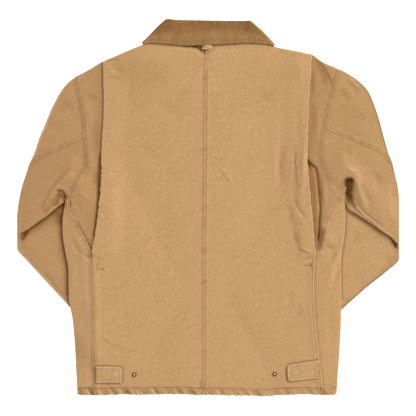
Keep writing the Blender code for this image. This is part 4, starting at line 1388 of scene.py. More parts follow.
@dataclass
class FrontPanel(Panel):
    """Half front: lies on the table, wraps round the body's edge and runs under the side seam."""

    laps: tuple = ("side",)
    covered: tuple = ("lower",)
    hemmed: bool = True
    seed: int = 57

    def lower_height(self, plan: Array) -> Array:
        """Height of the part on the table: flat, with the hem, edge and dents upwards only."""
        over = overlap(plan) if self.half.on_top else 0.0
        hollow = 0.25 * MM * (1 + dents(plan, 77))
        edge = 0.2 * MM * fade(np.abs(plan[..., 0] - self.half.front_edge_x), 7 * MM, 9 * MM)
        return FRONT_LEVEL + lift(plan) + over + hollow - edge

    def sheet(self) -> Sheet:
        """Works out the front: lower part, rolled edge and the part on the back."""
        half = self.half
        rows = SEAM_END + 1
        above = np.concatenate([half.shoulder[:1], half.sleeve["under"][1:rows]])
        outer, seam_line = (np.concatenate([above, half.body[key]]) for key in ("edge", "seam"))
        v_rows = even_rows(outer, shares_of(0.74, 0.0, 12 * MM, 1.6 * MM, 3.6 * MM))
        edge, seam = read(outer, v_rows), read(seam_line, v_rows)
        wraps = smooth((v_rows - (rows - 0.4)) / 0.8)
        v = reach(edge) / reach(edge)[-1]
        u = shares_of(300 * MM, 12 * MM, 12 * MM, 1.6 * MM, 4.2 * MM)
        top_line = np.concatenate([half.shoulder, half.front_neck[1:]])
        neck_y = half.front_neck[-1, 1]
        centre = np.stack([np.full(len(edge), half.front_edge_x), neck_y + (HEM_Y - neck_y) * v], axis=1)
        gaps = reach(top_line) / reach(top_line)[-1]
        top = np.stack([np.interp(u, gaps, top_line[:, k]) for k in range(2)], axis=1)
        top[:, 1] -= 2.8 * MM * fade(u, 0.42, 0.5)
        inward = unit(np.stack([-half.sign + 0 * v, -0.25 * (1 - wraps)], axis=1))
        depth = 2.6 * MM * wraps + 0.2 * MM
        start = edge + inward * (0.5 * DUCK_PLY + depth)[:, None]
        hem = start[-1] + (centre[-1] - start[-1]) * u[:, None]
        plan = coons(top, hem, start, centre, u, v)
        plan[..., 1] += (hem_y(plan[..., 0]) - HEM_Y + MM) * fade(plan[..., 1] - HEM_Y, 0.0, 40 * MM)
        lower = raised(plan, self.lower_height(plan))
        high = self.level(edge) + self.relief.at(edge)[0]
        roll = rolled(edge, inward, high, self.lower_height(edge), depth, FOLDED, 11)[:, :-1]
        under = smooth(v_rows - rows - TIP + 0.8)[:, None]
        target = seam + inward * (half.side_lap * (1 - under) + COVERED * under)
        shares = shares_of(56 * MM, 15 * MM, 0.0, 0.85 * MM, 2.4 * MM)[None, :-1, None]
        plan = target[:, None] + (roll[:, 0, :2] - target)[:, None] * shares
        plan[..., 1] += (hem_y(plan[..., 0]) - HEM_Y) * fade(plan[..., 1] - HEM_Y, 0.0, 40 * MM)
        upper, soil_and_shade, wear_and_highlight = self.shaped(plan)
        spread = np.linspace(-0.9, 0.0, upper.shape[1] + roll.shape[1])[None, :, None] * MM
        outer_part = np.where(wraps[:, None, None] > 0.5, np.concatenate([upper, roll], axis=1),
                              lower[:, :1] + raised(inward, 0.0)[:, None] * spread)
        grid = np.concatenate([outer_part, lower], axis=1)
        column = np.arange(grid.shape[1])[None]
        shown, turned = column < outer_part.shape[1], column > upper.shape[1]
        more = upper.shape[1] - grid.shape[1]
        # On the rolled edge: painted shade on the right half, where the key light catches it, a painted
        # highlight on both halves, and less crease shade
        lit = 0.16 if half is RIGHT else 0.0
        soil_and_shade = np.where(shown, carried(soil_and_shade, 0, more) * (1 - 0.6 * turned) + lit * turned, 0.06)
        wear_and_highlight = np.where(shown, carried(wear_and_highlight, 0, more) + 0.3 * turned, 0.0)
        return Sheet("front_" + half.name, grid, soil_and_shade, wear_and_highlight)


@dataclass
class TopSleeve(Panel):
    """Top sleeve: cap, outer edge and the whole under layer, from the armhole to the cuff."""

    laps: tuple = ("arm", "forearm")
    covered: tuple = ("armhole",)
    seed: int = 63

    def upper_level(self, plan: Array, rows: Array) -> Array:
        """Height on top: the upper arm's above the elbow, and the forearm's below it."""
        down = smooth((rows - ELBOW) / (FOREARM_START - ELBOW))
        return self.level(plan) * (1 - down) + (FOREARM_LEVEL + 0.2 * MM) * down

    def lower_level(self, plan: Array, rows: Array) -> Array:
        """Height of the under layer, which the forearm and the front hold up near the underarm."""
        hold = np.interp(rows, [SEAM_END, SEAM_END + 1, SEAM_END + 2], [1.0, 0.42, 0.0])
        return FRONT_LEVEL + lift(plan) * hold

    def forearm_height(self, line: Array) -> Array:
        """Height of the top layer below the elbow at plan points."""
        return self.upper_level(line, np.full(len(line), 99.0)) + self.relief.at(line)[0]

    def sheet(self) -> Sheet:
        """Works out the sleeve section by section."""
        half = self.half
        rows = even_rows(half.sleeve["edge"], np.linspace(0, 1, 240))
        edge, under, seam = (read(line, rows) for line in (
            half.sleeve["edge"], half.sleeve["under"], half.sleeve_seam))
        inward = unit(seam - edge)
        depth = np.minimum(2.6 * MM, 0.5 * np.linalg.norm(seam - edge, axis=1))
        inner = edge + inward * (0.5 * DUCK_PLY + depth)[:, None]
        border = seam + inward * (COVERED * fade(rows, SEAM_START - 0.6, SEAM_START))[:, None]
        shares = shares_of(80 * MM, 14 * MM, 0.0, 0.95 * MM, 2.4 * MM)[None, :-1, None]
        plan = border[:, None] + (inner - border)[:, None] * shares
        height, soil_and_shade, wear_and_highlight = self.relief.at(plan)
        upper = raised(plan, self.upper_level(plan, rows[:, None]) + height)
        inner_height, inner_soil_and_shade, _ = self.relief.at(inner)
        roll = rolled(edge, inward, self.upper_level(inner, rows) + inner_height,
                      self.lower_level(inner, rows) + 0.1 * MM, depth, FOLDED, 13)
        ends = shares_of(150 * MM, 0.0, 0.0, 4 * MM, 4.2 * MM)[1:]
        plan = roll[:, -1:, :2] + (under - roll[:, -1, :2])[:, None] * ends[None, :, None]
        rise = 1.3 * MM * smooth((ends - 0.93) / 0.05)[None] * (rows < SEAM_END)[:, None]
        hollow = 0.3 * MM * (1 + dents(plan, 81))
        bottom = raised(plan, self.lower_level(plan, rows[:, None]) + rise + hollow)
        grid = np.concatenate([upper, roll, bottom], axis=1)
        tail = np.ones((len(rows), grid.shape[1] - soil_and_shade.shape[1]))
        # Roll and under layer: painted shade on the right sleeve's edge, where the key light catches it,
        # and a painted highlight on both rolled edges
        lit = 0.46 if half is RIGHT else 0.0
        soil_and_shade = np.concatenate([soil_and_shade, (lit + 0.4 * inner_soil_and_shade)[:, None] * tail], axis=1)
        return Sheet("top_sleeve_" + half.name, grid, soil_and_shade, np.concatenate([wear_and_highlight, 0.7 * tail], axis=1),
                     streaks=SLEEVE_STREAKS[half.name])


@dataclass
class UnderSleeve(Panel):
    """Under sleeve above the elbow: from the sleeve seam to the underarm and the folded edge."""

    covered: tuple = ("armhole", "arm")
    seed: int = 71
    sleeve_half: float = 408.5 * MM

    def sheet(self) -> Sheet:
        """Works out the piece between the sleeve seam, the armhole and the folded edge.

        Past the underarm the last row turns under on a half ellipse and ends in a lip; before
        it the row runs straight on under the body.
        """
        half = self.half
        seam = half.sleeve_seam
        v = shares_of(110 * MM, 12 * MM, 12 * MM, 1.3 * MM, 2.0 * MM)
        u = shares_of(130 * MM, 8 * MM, 14 * MM, 1.6 * MM, 2.0 * MM)
        plan = coons(even(seam[SEAM_START:SEAM_END + 1], u),
                     even(np.concatenate([half.armhole[ARMHOLE_CORNER:], half.arm_fold]), u),
                     even(half.armhole[:ARMHOLE_CORNER + 1], v), even(seam[SEAM_END:ELBOW + 1], v), u, v)
        plan = extended(plan, Border.FIRST_COLUMN, COVERED, 4)
        plan = extended(plan, Border.FIRST_ROW, COVERED, 4)
        plan = extended(plan, Border.LAST_COLUMN, 1.4 * MM, 2)
        grid, soil_and_shade, wear_and_highlight = self.shaped(plan)
        edge, high = plan[-1], grid[-1, :, 2]
        inward = normals_of(edge)
        inward = inward * np.sign(np.sum(inward * (plan[-6] - edge)))
        inward[-5:] = inward[-6]
        roll = rolled(edge, inward, high, high - 3.0 * MM, np.full(len(edge), 2.2 * MM), FOLDED, 11)
        lengths = reach(edge)
        tongue = 9 * MM * smooth((lengths[-1] - lengths - 8 * MM) / (26 * MM))[:, None]
        lip = raised(inward * tongue, 0.0)[:, None] * np.linspace(0.25, 1, 4)[:, None] + roll[:, -1:]
        folded = np.concatenate([roll, lip], axis=1).transpose(1, 0, 2)
        inward = raised(inward, 0.0)[None]
        plain = grid[-1][None] - inward * np.linspace(0.0, COVERED, len(folded))[:, None, None]
        begin = int(np.argmin(np.linalg.norm(edge - half.arm_fold[half.fold_start], axis=1)))
        is_folded = smooth((lengths - lengths[begin] + 5 * MM) / (5 * MM))[None, :, None]
        body = grid[:-1].copy()
        body[-6:] += 2.7 * MM * inward * is_folded * np.linspace(0, 1, 6)[:, None, None]
        grid = np.concatenate([body, folded * is_folded + plain * (1 - is_folded)])
        grid[..., 0] = np.clip(grid[..., 0], -self.sleeve_half, self.sleeve_half)
        after = 1 - len(folded)
        return Sheet("under_sleeve_" + half.name, grid, carried(soil_and_shade, after), carried(wear_and_highlight, after),
                     streaks=SLEEVE_STREAKS[half.name])


@dataclass
class Forearm(Panel):
    """Under sleeve below the elbow: the forearm's top layer, down to the cuff."""

    covered: tuple = ("forearm",)
    dent: float = 0.3 * MM
    seed: int = 83

    def level(self, plan: Array) -> Array:
        """Height without creases: level, and a crown that rises from the outer edge."""
        outline = even(self.half.sleeve["edge"][ELBOW:], np.linspace(0, 1, 50))
        return FOREARM_LEVEL + FOREARM_CROWN * smooth(nearest(plan, outline)[0] / (34 * MM))

    def sheet(self) -> Sheet:
        """Works out the piece from the seam to the inner edge, which turns down."""
        half = self.half
        seam = half.sleeve["seam"]
        v = shares_of(310 * MM, 0.0, 10 * MM, 1.6 * MM, 2.4 * MM)
        u = shares_of(150 * MM, 14 * MM, 0.0, 1.3 * MM, 2.4 * MM)
        first, cuff_end = even(half.forearm_end, u), half.sleeve["under"][-1]
        cuff = seam[-1] + (cuff_end - seam[-1]) * u[:, None]
        inner = first[-1] + (cuff_end - first[-1]) * v[:, None]
        plan = coons(first, cuff, even(seam[FOREARM_START:], v), inner, u, v)
        plan = extended(plan, Border.FIRST_COLUMN, 3.4 * MM, 3)
        grid, soil_and_shade, wear_and_highlight = self.shaped(plan)
        high = grid[:, -1, 2]
        inward = unit(plan[:, -2] - plan[:, -1])
        turn = rolled(plan[:, -1] - inward * 2 * MM, inward, high, np.full(len(high), 1.9 * MM),
                      np.full(len(high), 1.5 * MM), TURNED_DOWN, 5)[:, 1:]
        return Sheet("forearm_" + half.name, np.concatenate([grid, turn], axis=1), carried(soil_and_shade, 0, -4),
                     carried(wear_and_highlight, 0, -4), streaks=FOREARM_STREAKS[half.name])


PANELS = {"wrap": FrontPanel, "strip": SideBack, "back": BackPanel, "top_sleeve": TopSleeve,
          "under_sleeve": UnderSleeve, "forearm": Forearm}


def stitches(name: str, rows: list, material: bpy.types.Material) -> None:
    """Joined mesh of small arched stitches.

    Each stitch is a spindle of four sides, thickest at its middle, whose ends dip into the
    cloth; it has a ring of points at each end and one at its middle.

    Args:
        name: of the piece.
        rows: list of (k, 3) lines on the cloth's face.
        material: the thread.
    """
    begins, ends = [], []
    for line in rows:
        lengths = reach(line)
        count = max(1, int(lengths[-1] / STITCH_PITCH))
        starts = (np.arange(count) + 0.15) * lengths[-1] / count
        for places, store in ((starts, begins), (starts + STITCH_LENGTH, ends)):
            store.append(np.stack([np.interp(places, lengths, line[:, k]) for k in range(3)], axis=1))
    begin, end = np.concatenate(begins), np.concatenate(ends)
    along = unit(end - begin)
    side = unit(np.cross(along, np.array([0.0, 0.0, 1.0])))
    up = np.cross(side, along)
    shares = np.array([0.0, 0.5, 1.0])
    girth = np.array([0.75, 1.0, 0.75]) * STITCH_RADIUS
    sink = np.array([-STITCH_SINK, STITCH_ARCH, -STITCH_SINK])
    angles = np.radians([45, 135, 225, 315])
    ring = side[:, None, None] * (np.cos(angles) * girth[:, None])[..., None]
    ring = ring + up[:, None, None] * (np.sin(angles) * girth[:, None] + sink[:, None])[..., None]
    centre = begin[:, None] + (end - begin)[:, None] * shares[:, None]
    vertices = (centre[:, :, None] + ring).reshape(-1, 3)
    one = grid_faces(3, 4, closed=True)
    caps = np.array([[3, 2, 1, 0], [8, 9, 10, 11]])
    faces = np.concatenate([one[:, ::-1], caps[:, ::-1]])
    faces = faces + 12 * np.arange(len(begin))[:, None, None]
    made = new_object(name, vertices, faces.reshape(-1, 4), material)
    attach(made, "root")
    LOG.info("%s: %d stitches", name, len(begin))


def on_cloth(line: Array, height: Array, lift_off: float = 0.5 * DUCK_PLY) -> Array:
    """A plan line laid on a ply's upper face, or below it where lift_off is negative."""
    return raised(line, height + lift_off)


@dataclass
class Collar:
    """Corduroy collar: fall and stand joined at the crease, all the way round the neck."""

    wale: float = 3.7 * MM
    ridge: float = 0.36 * MM
    stitch_inset: float = 9.5 * MM
    fall_depth: float = 53 * MM

    def section(self, fall: Array, crease: Array, stand: Array) -> tuple[Array, Array]:
        """Plan points and half heights of one section, from the fall's edge to the stand's."""
        radius = 0.5 * (FALL_HALF - STAND_HALF)
        along = unit(fall - crease)
        begin = crease + along * (radius + 0.5 * CORDUROY_PLY)
        crest = crease + along * 0.5 * CORDUROY_PLY
        plan = [fall, 0.5 * (fall + begin), begin, crest, begin, 0.5 * (stand + begin), stand]
        half = [FALL_HALF] * 3 + [0.5 * (FALL_HALF + STAND_HALF)] + [STAND_HALF] * 3
        return np.stack(plan), np.array(half)

    def leaves(self, lines: dict) -> list[Array]:
        """Sections of a front leaf, which lies under the fronts."""
        sections = (self.section(*points) for points in zip(*lines.values()))
        return [raised(plan, COLLAR_MIDDLE - half) for plan, half in sections]

    def side(self, lines: dict, angles: tuple) -> list[Array]:
        """Sections where the collar turns over the shoulder, 180 degrees below and 0 on top."""
        fall, crease, stand = (lines[key][-1] for key in ("fall", "crease", "stand"))
        along = unit(fall - crease)
        outward = np.array([-along[1], along[0]])
        outward = outward * np.sign(outward[0] * fall[0])
        aside = np.array([np.sign(fall[0]), 0.0])
        thick = FALL_HALF + 0.5 * CORDUROY_PLY
        plan, half = self.section(fall - outward * thick, crease - aside * thick, stand)
        plan[1] += outward * COLLAR_BULGE[float(np.sign(fall[0]))]
        near_crease = np.array([0.0, 0.5, 0.85, 1.0, 0.85, 0.5, 0.0])[:, None]
        outward = unit(outward * (1 - near_crease) + aside * near_crease)
        return [raised(plan + outward * half[:, None] * math.sin(angle),
                       COLLAR_MIDDLE + math.cos(angle) * half) for angle in np.radians(angles)]

    def stations(self) -> tuple[Array, Array]:
        """All sections in order, with a share of each that says how far it is on the back."""
        front_left = {key: line[:-1] for key, line in COLLAR_LEFT.items()}
        front_right = {key: line[-2::-1] for key, line in COLLAR_RIGHT.items()}
        angles = (180, 150, 120, 90, 60, 30, 0)
        sections = self.leaves(front_left) + self.side(COLLAR_LEFT, angles)
        left, right = sections[-1], self.side(COLLAR_RIGHT, (0,))[0]
        for x, fall_y, crease_y in COLLAR_BACK:
            made = left + (right - left) * (x - left[0, 0]) / (right[0, 0] - left[0, 0])
            move = fall_y - made[0, 1], crease_y - 0.5 * CORDUROY_PLY - made[3, 1]
            made[:, 1] += np.interp(np.arange(len(made)), [0, 3, 4], [move[0], move[1], 0.0])
            made[-1, 1] = NECK_SEAM_Y
            sections.append(made)
        sections += self.side(COLLAR_RIGHT, angles[::-1]) + self.leaves(front_right)
        leaf = len(front_left["fall"])
        return np.stack(sections), np.pad(np.ones(len(sections) - 2 * leaf), leaf)

    def sheet(self) -> tuple[Sheet, Array]:
        """Works out the collar, with wales as ridges across its length.

        Returns:
            The sheet, and the height of the wale at each point from 0 in a valley to 1.
        """
        sections, on_back = self.stations()
        rows = np.linspace(0, len(sections) - 1.0, 4000)
        fine = read(sections[:, 0], rows)
        step = np.where(np.interp(rows, np.arange(len(on_back)), on_back) > 0.5, 0.75 * MM, 2.4 * MM)
        density = np.cumsum(np.linalg.norm(np.diff(fine, axis=0, prepend=fine[:1]), axis=1) / step)
        rows = np.interp(np.arange(0.0, density[-1]), density, rows)
        dense = read(sections, rows)
        across = np.interp(np.arange(56), [0, 29, 40, 55], [0, 2, 4, 6])
        grid = read(dense.transpose(1, 0, 2), across).transpose(1, 0, 2)
        along = reach(grid[:, 0])
        depth = np.cumsum(np.linalg.norm(np.diff(grid, axis=1, prepend=grid[:, :1]), axis=-1), axis=1)
        upward = np.interp(rows, np.arange(len(on_back)), on_back) > 0.5
        first, last = np.argmax(upward), len(upward) - 1 - np.argmax(upward[::-1])
        # The wales run straight up the back; on the leaves they cross the collar's length
        shift = np.where(np.arange(len(along)) < first, grid[first, 0, 0] - along[first],
                         grid[last, 0, 0] - along[last])
        place = np.where(upward[:, None], grid[..., 0], (along + shift)[:, None])
        drift = 2.4 * MM * noise(place, 17, depth, 38, 15)
        phase = (place + drift) / self.wale
        crest = 0.5 + 0.5 * np.cos(2 * math.pi * phase)
        uneven = 0.7 + 0.3 * lattice(np.stack([np.floor(phase) * 0.73, depth / (21 * MM)], axis=-1), 19)
        wale = np.clip(crest ** 0.8 * uneven, 0.0, 1.0)
        normal = unit(np.cross(np.gradient(grid, axis=1), np.gradient(grid, axis=0)))
        normal = normal * np.sign(np.sum(normal[upward][:, 8, 2]))
        groove = bell(depth - self.stitch_inset, 1.0)
        edge = bell(depth, 2.2)
        band = fade(depth, self.stitch_inset - 0.5 * MM, self.stitch_inset + 1.5 * MM)
        waves = noise(place, 21, depth, 26, 23)
        gathers = noise(place, 2.7, depth, 16, 27)
        low_half = fade(depth, 0.34 * self.fall_depth, 0.8 * self.fall_depth)
        rise = self.ridge * (wale - 0.5) * (1 - 0.7 * groove) + 0.4 * MM * waves + 0.3 * MM * band
        rise = rise - 0.4 * MM * groove - 0.4 * MM * edge + 0.14 * MM * gathers * band
        hidden = depth > depth[:, -1:] * 0.62
        grid = grid + normal * np.where(hidden, 0.3 * rise, rise)[..., None]
        # Painted shade in the wale valleys and on the fall's very edge, painted highlight on the wale
        # tops near the edge; pale streaks on gathered pile are abrasion, the stitch groove a dark joint,
        # and the cloth is paler towards the fall's edge
        valley = np.clip(0.55 - wale, 0, 1) * (0.35 + 0.65 * low_half)
        worn_line = np.clip(gathers - 0.3, 0, 1) * (0.25 + 0.75 * low_half)
        crowns = wale ** 2 * low_half * np.clip(0.6 + 0.9 * noise(place, 5.2, depth, 9, 29), 0, 1.4)
        soil_and_shade = 0.14 + 0.36 * groove * (0.7 + 0.5 * gathers) + 0.14 * np.clip(waves, 0, 1)
        soil_and_shade = soil_and_shade - 0.1 * low_half + 0.2 * valley
        soil_and_shade = soil_and_shade + 0.12 * band * np.clip(-gathers, 0, 1) + 0.2 * bell(depth - 0.4 * MM, 1.0)
        wear_and_highlight = 0.1 * edge + 0.26 * low_half + 0.34 * worn_line + 0.4 * crowns + 0.1 * band
        return Sheet("collar", grid, np.clip(soil_and_shade, 0, 0.8), np.clip(wear_and_highlight, 0, 0.8), CORDUROY_PLY), wale

    def build(self, material: bpy.types.Material, thread: bpy.types.Material) -> None:
        """Adds the collar and its row of stitches."""
        sheet, wale = self.sheet()
        made = sheet.build(material, "corduroy")
        set_attribute(made, "wale", wale)
        column = int(np.argmin(np.abs(reach(sheet.grid[len(wale) // 2]) - self.stitch_inset)))
        line = sheet.grid[::3, column]
        normal = unit(np.cross(np.gradient(sheet.grid, axis=1), np.gradient(sheet.grid, axis=0)))
        facing = normal[::3, column] * np.sign(normal[len(normal) // 2, 8, 2])
        stitches("stitching_collar", [line + facing * (0.5 * CORDUROY_PLY + 0.05 * MM)], thread)


@dataclass
class HangerLoop:
    """Tape loop below the collar, spread at its lower lip and gathered over the collar's edge.

    Attributes:
        back: the panel that it is sewn to.
        lip: ends of its lower lip, in plan.
        waist: ends of the gathered top, in plan.
        rise: height of the lip's middle over the back.
    """

    back: BackPanel
    lip: tuple = ((-15.0 * MM, 340.4 * MM), (10.6 * MM, 342.8 * MM))
    waist: tuple = ((-7.4 * MM, 353.0 * MM), (5.6 * MM, 353.0 * MM))
    rise: float = 2.6 * MM

    def build(self, material: bpy.types.Material, thread: bpy.types.Material) -> None:
        """Adds the loop and the bar of stitches below it.

        Rows run from the lip up to the waist and shorten evenly; each row arches up by
        rise * sin(pi u)^0.7 at the lip and lies flat below the collar's edge at the waist.
        """
        u, t = np.linspace(0, 1, 37), np.linspace(0, 1, 22)
        lip, waist = np.array(self.lip), np.array(self.waist)
        low, high = (ends[0] + (ends[1] - ends[0]) * u[:, None] for ends in (lip, waist))
        arch = np.sin(math.pi * u)
        low[:, 1] -= 1.6 * MM * arch
        plan = low[:, None] * (1 - t)[:, None] + high[:, None] * t[:, None]
        rest = self.back.height(low) + 0.5 * (DUCK_PLY + TAPE_PLY) + 0.25 * MM
        start = np.max(rest) + self.rise * arch ** 0.7
        below = COLLAR_MIDDLE + FALL_HALF - 0.5 * (CORDUROY_PLY + TAPE_PLY) - 0.15 * MM
        tuck = smooth((plan[..., 1] - 347 * MM) / (5 * MM))
        height = start[:, None] * (1 - tuck) + below * tuck
        gather = 0.35 * MM * np.cos(2 * math.pi * (3 * u[:, None] + 0.2)) * t * (1 - tuck)
        lip_roll = 0.5 * MM * np.exp(-(t / 0.1) ** 2)
        grid = raised(plan, height + gather + lip_roll)
        # Painted shade down the loop's left side, towards the collar's edge and in the gathers' troughs,
        # and a painted highlight on the arched lip
        left_side = np.exp(-(u / 0.13) ** 2)[:, None] * (0.4 + 0.6 * t)
        soil_and_shade = 0.04 + 0.5 * left_side + 0.08 * smooth((t - 0.5) / 0.5)
        soil_and_shade = soil_and_shade + 0.1 * np.clip(-gather / MM, 0, 1)
        wear_and_highlight = 0.75 * np.exp(-((t - 0.03) / 0.1) ** 2) * arch[:, None] ** 0.4
        Sheet("hanger_loop", grid, soil_and_shade, wear_and_highlight, TAPE_PLY).build(material, "duck")
        bars = []
        for x_bar in np.linspace(-3.8, 8.0, 8) * MM:
            line = np.stack([np.full(6, x_bar), np.linspace(329.5, 338.0, 6) * MM], axis=1)
            bars.append(on_cloth(line, self.back.height(line), 0.5 * DUCK_PLY + 0.15 * MM))
        stitches("stitching_loop", bars, thread)


@dataclass
class HemTab:
    """Hem tab: a doubled strap from the side seam, with a snap's bump near its free end.

    Attributes:
        name: of the CAD node.
        upper: upper edge from the seam to the free end, in plan.
        lower: lower edge from the seam to the free end.
        snap: centre of the bump.
        end_round: share of the half width that the free end's corners take.
        back: the panel that it lies on.
        inner_ridge: how pale the ridge inside the stitches is.
    """

    name: str
    upper: Array
    lower: Array
    snap: Array
    end_round: float
    back: BackPanel
    inner_ridge: float
    thick: float = 2.0 * MM
    border: float = 4.4 * MM

    def build(self, material: bpy.types.Material) -> list[Array]:
        """Adds the tab.

        Cross-sections are flat ovals, |x|^5 + |z|^5 = 1 in shares of half width and half
        thickness; towards the free end the half width falls along an arc.

        Returns:
            The line of its stitches, on its upper face.
        """
        share = np.append(0.0, shares_of(55 * MM, 0.0, 12 * MM, 0.7 * MM, 1.6 * MM))
        length = np.linalg.norm(self.upper[-1] - self.upper[0])
        upper, lower = even(self.upper, share), even(self.lower, share)
        middle, half = 0.5 * (upper + lower), 0.5 * (upper - lower)
        corner = self.end_round * np.linalg.norm(half[-1])
        past = np.clip((share * length - (length - corner)) / corner, 0.0, 1.0)
        narrow = 1 - self.end_round * (1 - np.sqrt(np.clip(1 - past ** 2, 0.0, 1.0)))
        narrow[-1] = 0.985 * narrow[-1]
        narrow, middle, half = np.append(narrow, 0.0), carried(middle, -1), carried(half, -1)
        angles = np.concatenate([np.linspace(0, math.pi, 30, endpoint=False),
                                 np.linspace(math.pi, 2 * math.pi, 12, endpoint=False)])
        flat_x = np.sign(np.cos(angles)) * np.abs(np.cos(angles)) ** 0.4
        flat_z = np.sign(np.sin(angles)) * np.abs(np.sin(angles)) ** 0.4
        plan = middle[:, None] + half[:, None] * (narrow[:, None] * flat_x)[..., None]
        inset = np.linalg.norm(half, axis=1)[:, None] * (1 - np.abs(flat_x)) * narrow[:, None]
        inset = np.minimum(inset, np.append((1 - share) * length, 0.0)[:, None])
        rest = self.back.level(plan) + 0.5 * (DUCK_PLY + self.thick) + 0.75 * MM
        fat = self.thick * 0.5 * np.where(narrow > 0, 1.0, 0.4)[:, None]
        gap = np.linalg.norm(plan - self.snap, axis=-1)
        bump = 0.8 * MM * np.exp(-(gap / (7 * MM)) ** 6)
        ring = -0.25 * MM * bell(gap - 8.6 * MM, 1.4)
        on_top = np.clip(flat_z, 0, 1)
        edge_ridge = 0.4 * MM * bell(inset - 1.6 * MM, 1.3)
        groove = bell(inset - self.border, 0.8)
        pucker = 0.25 * MM * lattice(plan / (6 * MM), 37) * bell(inset - 3 * MM, 4)
        marks = bump + ring + edge_ridge - 0.22 * MM * groove + pucker
        grid = raised(plan, rest + fat * flat_z + marks * on_top)
        faces = grid_faces(len(grid), len(angles), closed=True)
        vertices = np.concatenate([grid.reshape(-1, 3), grid[0].mean(axis=0)[None]])
        cap = np.arange(len(angles))
        centre = np.full(len(cap) // 2, len(vertices) - 1)
        seam_cap = np.stack([cap[::2], cap[1::2], np.roll(cap, -1)[1::2], centre], axis=1)
        faces = np.concatenate([faces[:, ::-1], seam_cap])
        made = new_object(self.name + "_cloth", vertices, faces, material)
        set_cloth_coordinates(made, *(np.append(plan[..., k], 0.0) for k in range(2)))
        # Painted shade in the ring round the snap's bump and on the underside; the pale border and bump
        # are abrasion and painted highlight
        rim = bell(gap - 8.4 * MM, 1.0)
        tone = on_top * (0.1 * groove + 0.12 * rim) + 0.2 * (1 - on_top) + 0.03
        set_attribute(made, "soil_and_shade", np.clip(np.append(tone, 0.0), 0, 0.9))
        pale = 1.1 * bell(inset - 2.1 * MM, 1.9) * (0.85 + 0.5 * pucker / (0.25 * MM))
        pale = pale + 0.42 * np.exp(-(gap / (7.4 * MM)) ** 6)
        pale = pale + self.inner_ridge * bell(inset - 7.4 * MM, 1.3)
        set_attribute(made, "wear_and_highlight", np.clip(np.append(pale * on_top, 0.0), 0, 1))
        weld = made.modifiers.new("free_end", "WELD")
        weld.merge_threshold = 0.01 * MM
        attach(made, "root")
        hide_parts(self.name)
        LOG.info("%s: %d points", self.name, len(vertices))
        return self.stitch_lines(share, upper, lower, length)

    def stitch_lines(self, share: Array, upper: Array, lower: Array, length: float) -> list[Array]:
        """Stitch line round the tab, inset from its edges, on its upper face."""
        half = 0.5 * (upper - lower)
        reach_in = 1 - self.border / np.linalg.norm(half, axis=1)
        keep = share * length < length - self.border
        middle = 0.5 * (upper + lower)
        top = (middle + half * reach_in[:, None])[keep]
        bottom = (middle - half * reach_in[:, None])[keep]
        turn = np.linspace(top[-1], bottom[-1], 12)
        line = np.concatenate([top, turn[1:-1], bottom[::-1]])
        return [raised(line, self.back.level(line) + DUCK_PLY * 0.5 + self.thick + 0.55 * MM)]


@dataclass
class TurnedMetal:
    """A snap part turned about a vertical axis, at the place that the frame gives for its node."""

    node: str
    profile: tuple
    base_height: float | None = None

    def build(self, material: bpy.types.Material) -> None:
        """Adds the part: its profile of radius, height and share of abrasion and painted highlight,
        carried round a circle.
        """
        low, high = (np.array(corner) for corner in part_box(self.node))
        centre = 0.5 * (low + high)
        radius = 0.5 * (high[0] - low[0])
        tall = high[2] - low[2]
        base = low[2] if self.base_height is None else self.base_height
        rows = np.array(self.profile, dtype=float)
        angles = np.linspace(0, 2 * math.pi, 40, endpoint=False)
        spread = rows[:, 0, None] * radius
        turned = np.stack([np.cos(angles), np.sin(angles)], axis=-1)
        plan = centre[:2] + spread[..., None] * turned
        grid = raised(plan, base + rows[:, 1, None] * tall)
        faces = grid_faces(len(rows), len(angles), closed=True)
        made = new_object(self.node + "_brass", grid.reshape(-1, 3), faces, material)
        set_attribute(made, "wear_and_highlight", np.repeat(rows[:, 2], len(angles)))
        weld = made.modifiers.new("poles", "WELD")
        weld.merge_threshold = 0.004 * MM
        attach(made, "root")
        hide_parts(self.node)
        LOG.info("%s: turned", self.node)


# Snap parts in shares of their radius and height, and how far each ring is abraded to bare brass; the
# stud's centre rings are a painted highlight
STUD_PROFILE = (
    (0.0, 0.0, 0.0), (0.93, 0.0, 0.0), (1.0, 0.14, 0.0), (0.99, 0.5, 0.0), (0.93, 0.86, 0.04),
    (0.82, 1.0, 0.1), (0.7, 0.98, 0.04), (0.6, 0.8, 0.0), (0.54, 0.45, 0.0), (0.48, 0.36, 0.05),
    (0.4, 0.42, 0.7), (0.3, 0.55, 1.0), (0.14, 0.6, 1.0), (0.0, 0.6, 1.0),
)
CAP_PROFILE = (
    (0.0, 0.0, 0.5), (0.55, 0.02, 0.5), (0.8, 0.08, 0.6), (0.93, 0.24, 0.7), (1.0, 0.5, 0.3),
    (0.98, 0.85, 0.0), (0.9, 1.0, 0.0), (0.0, 1.0, 0.0),
)


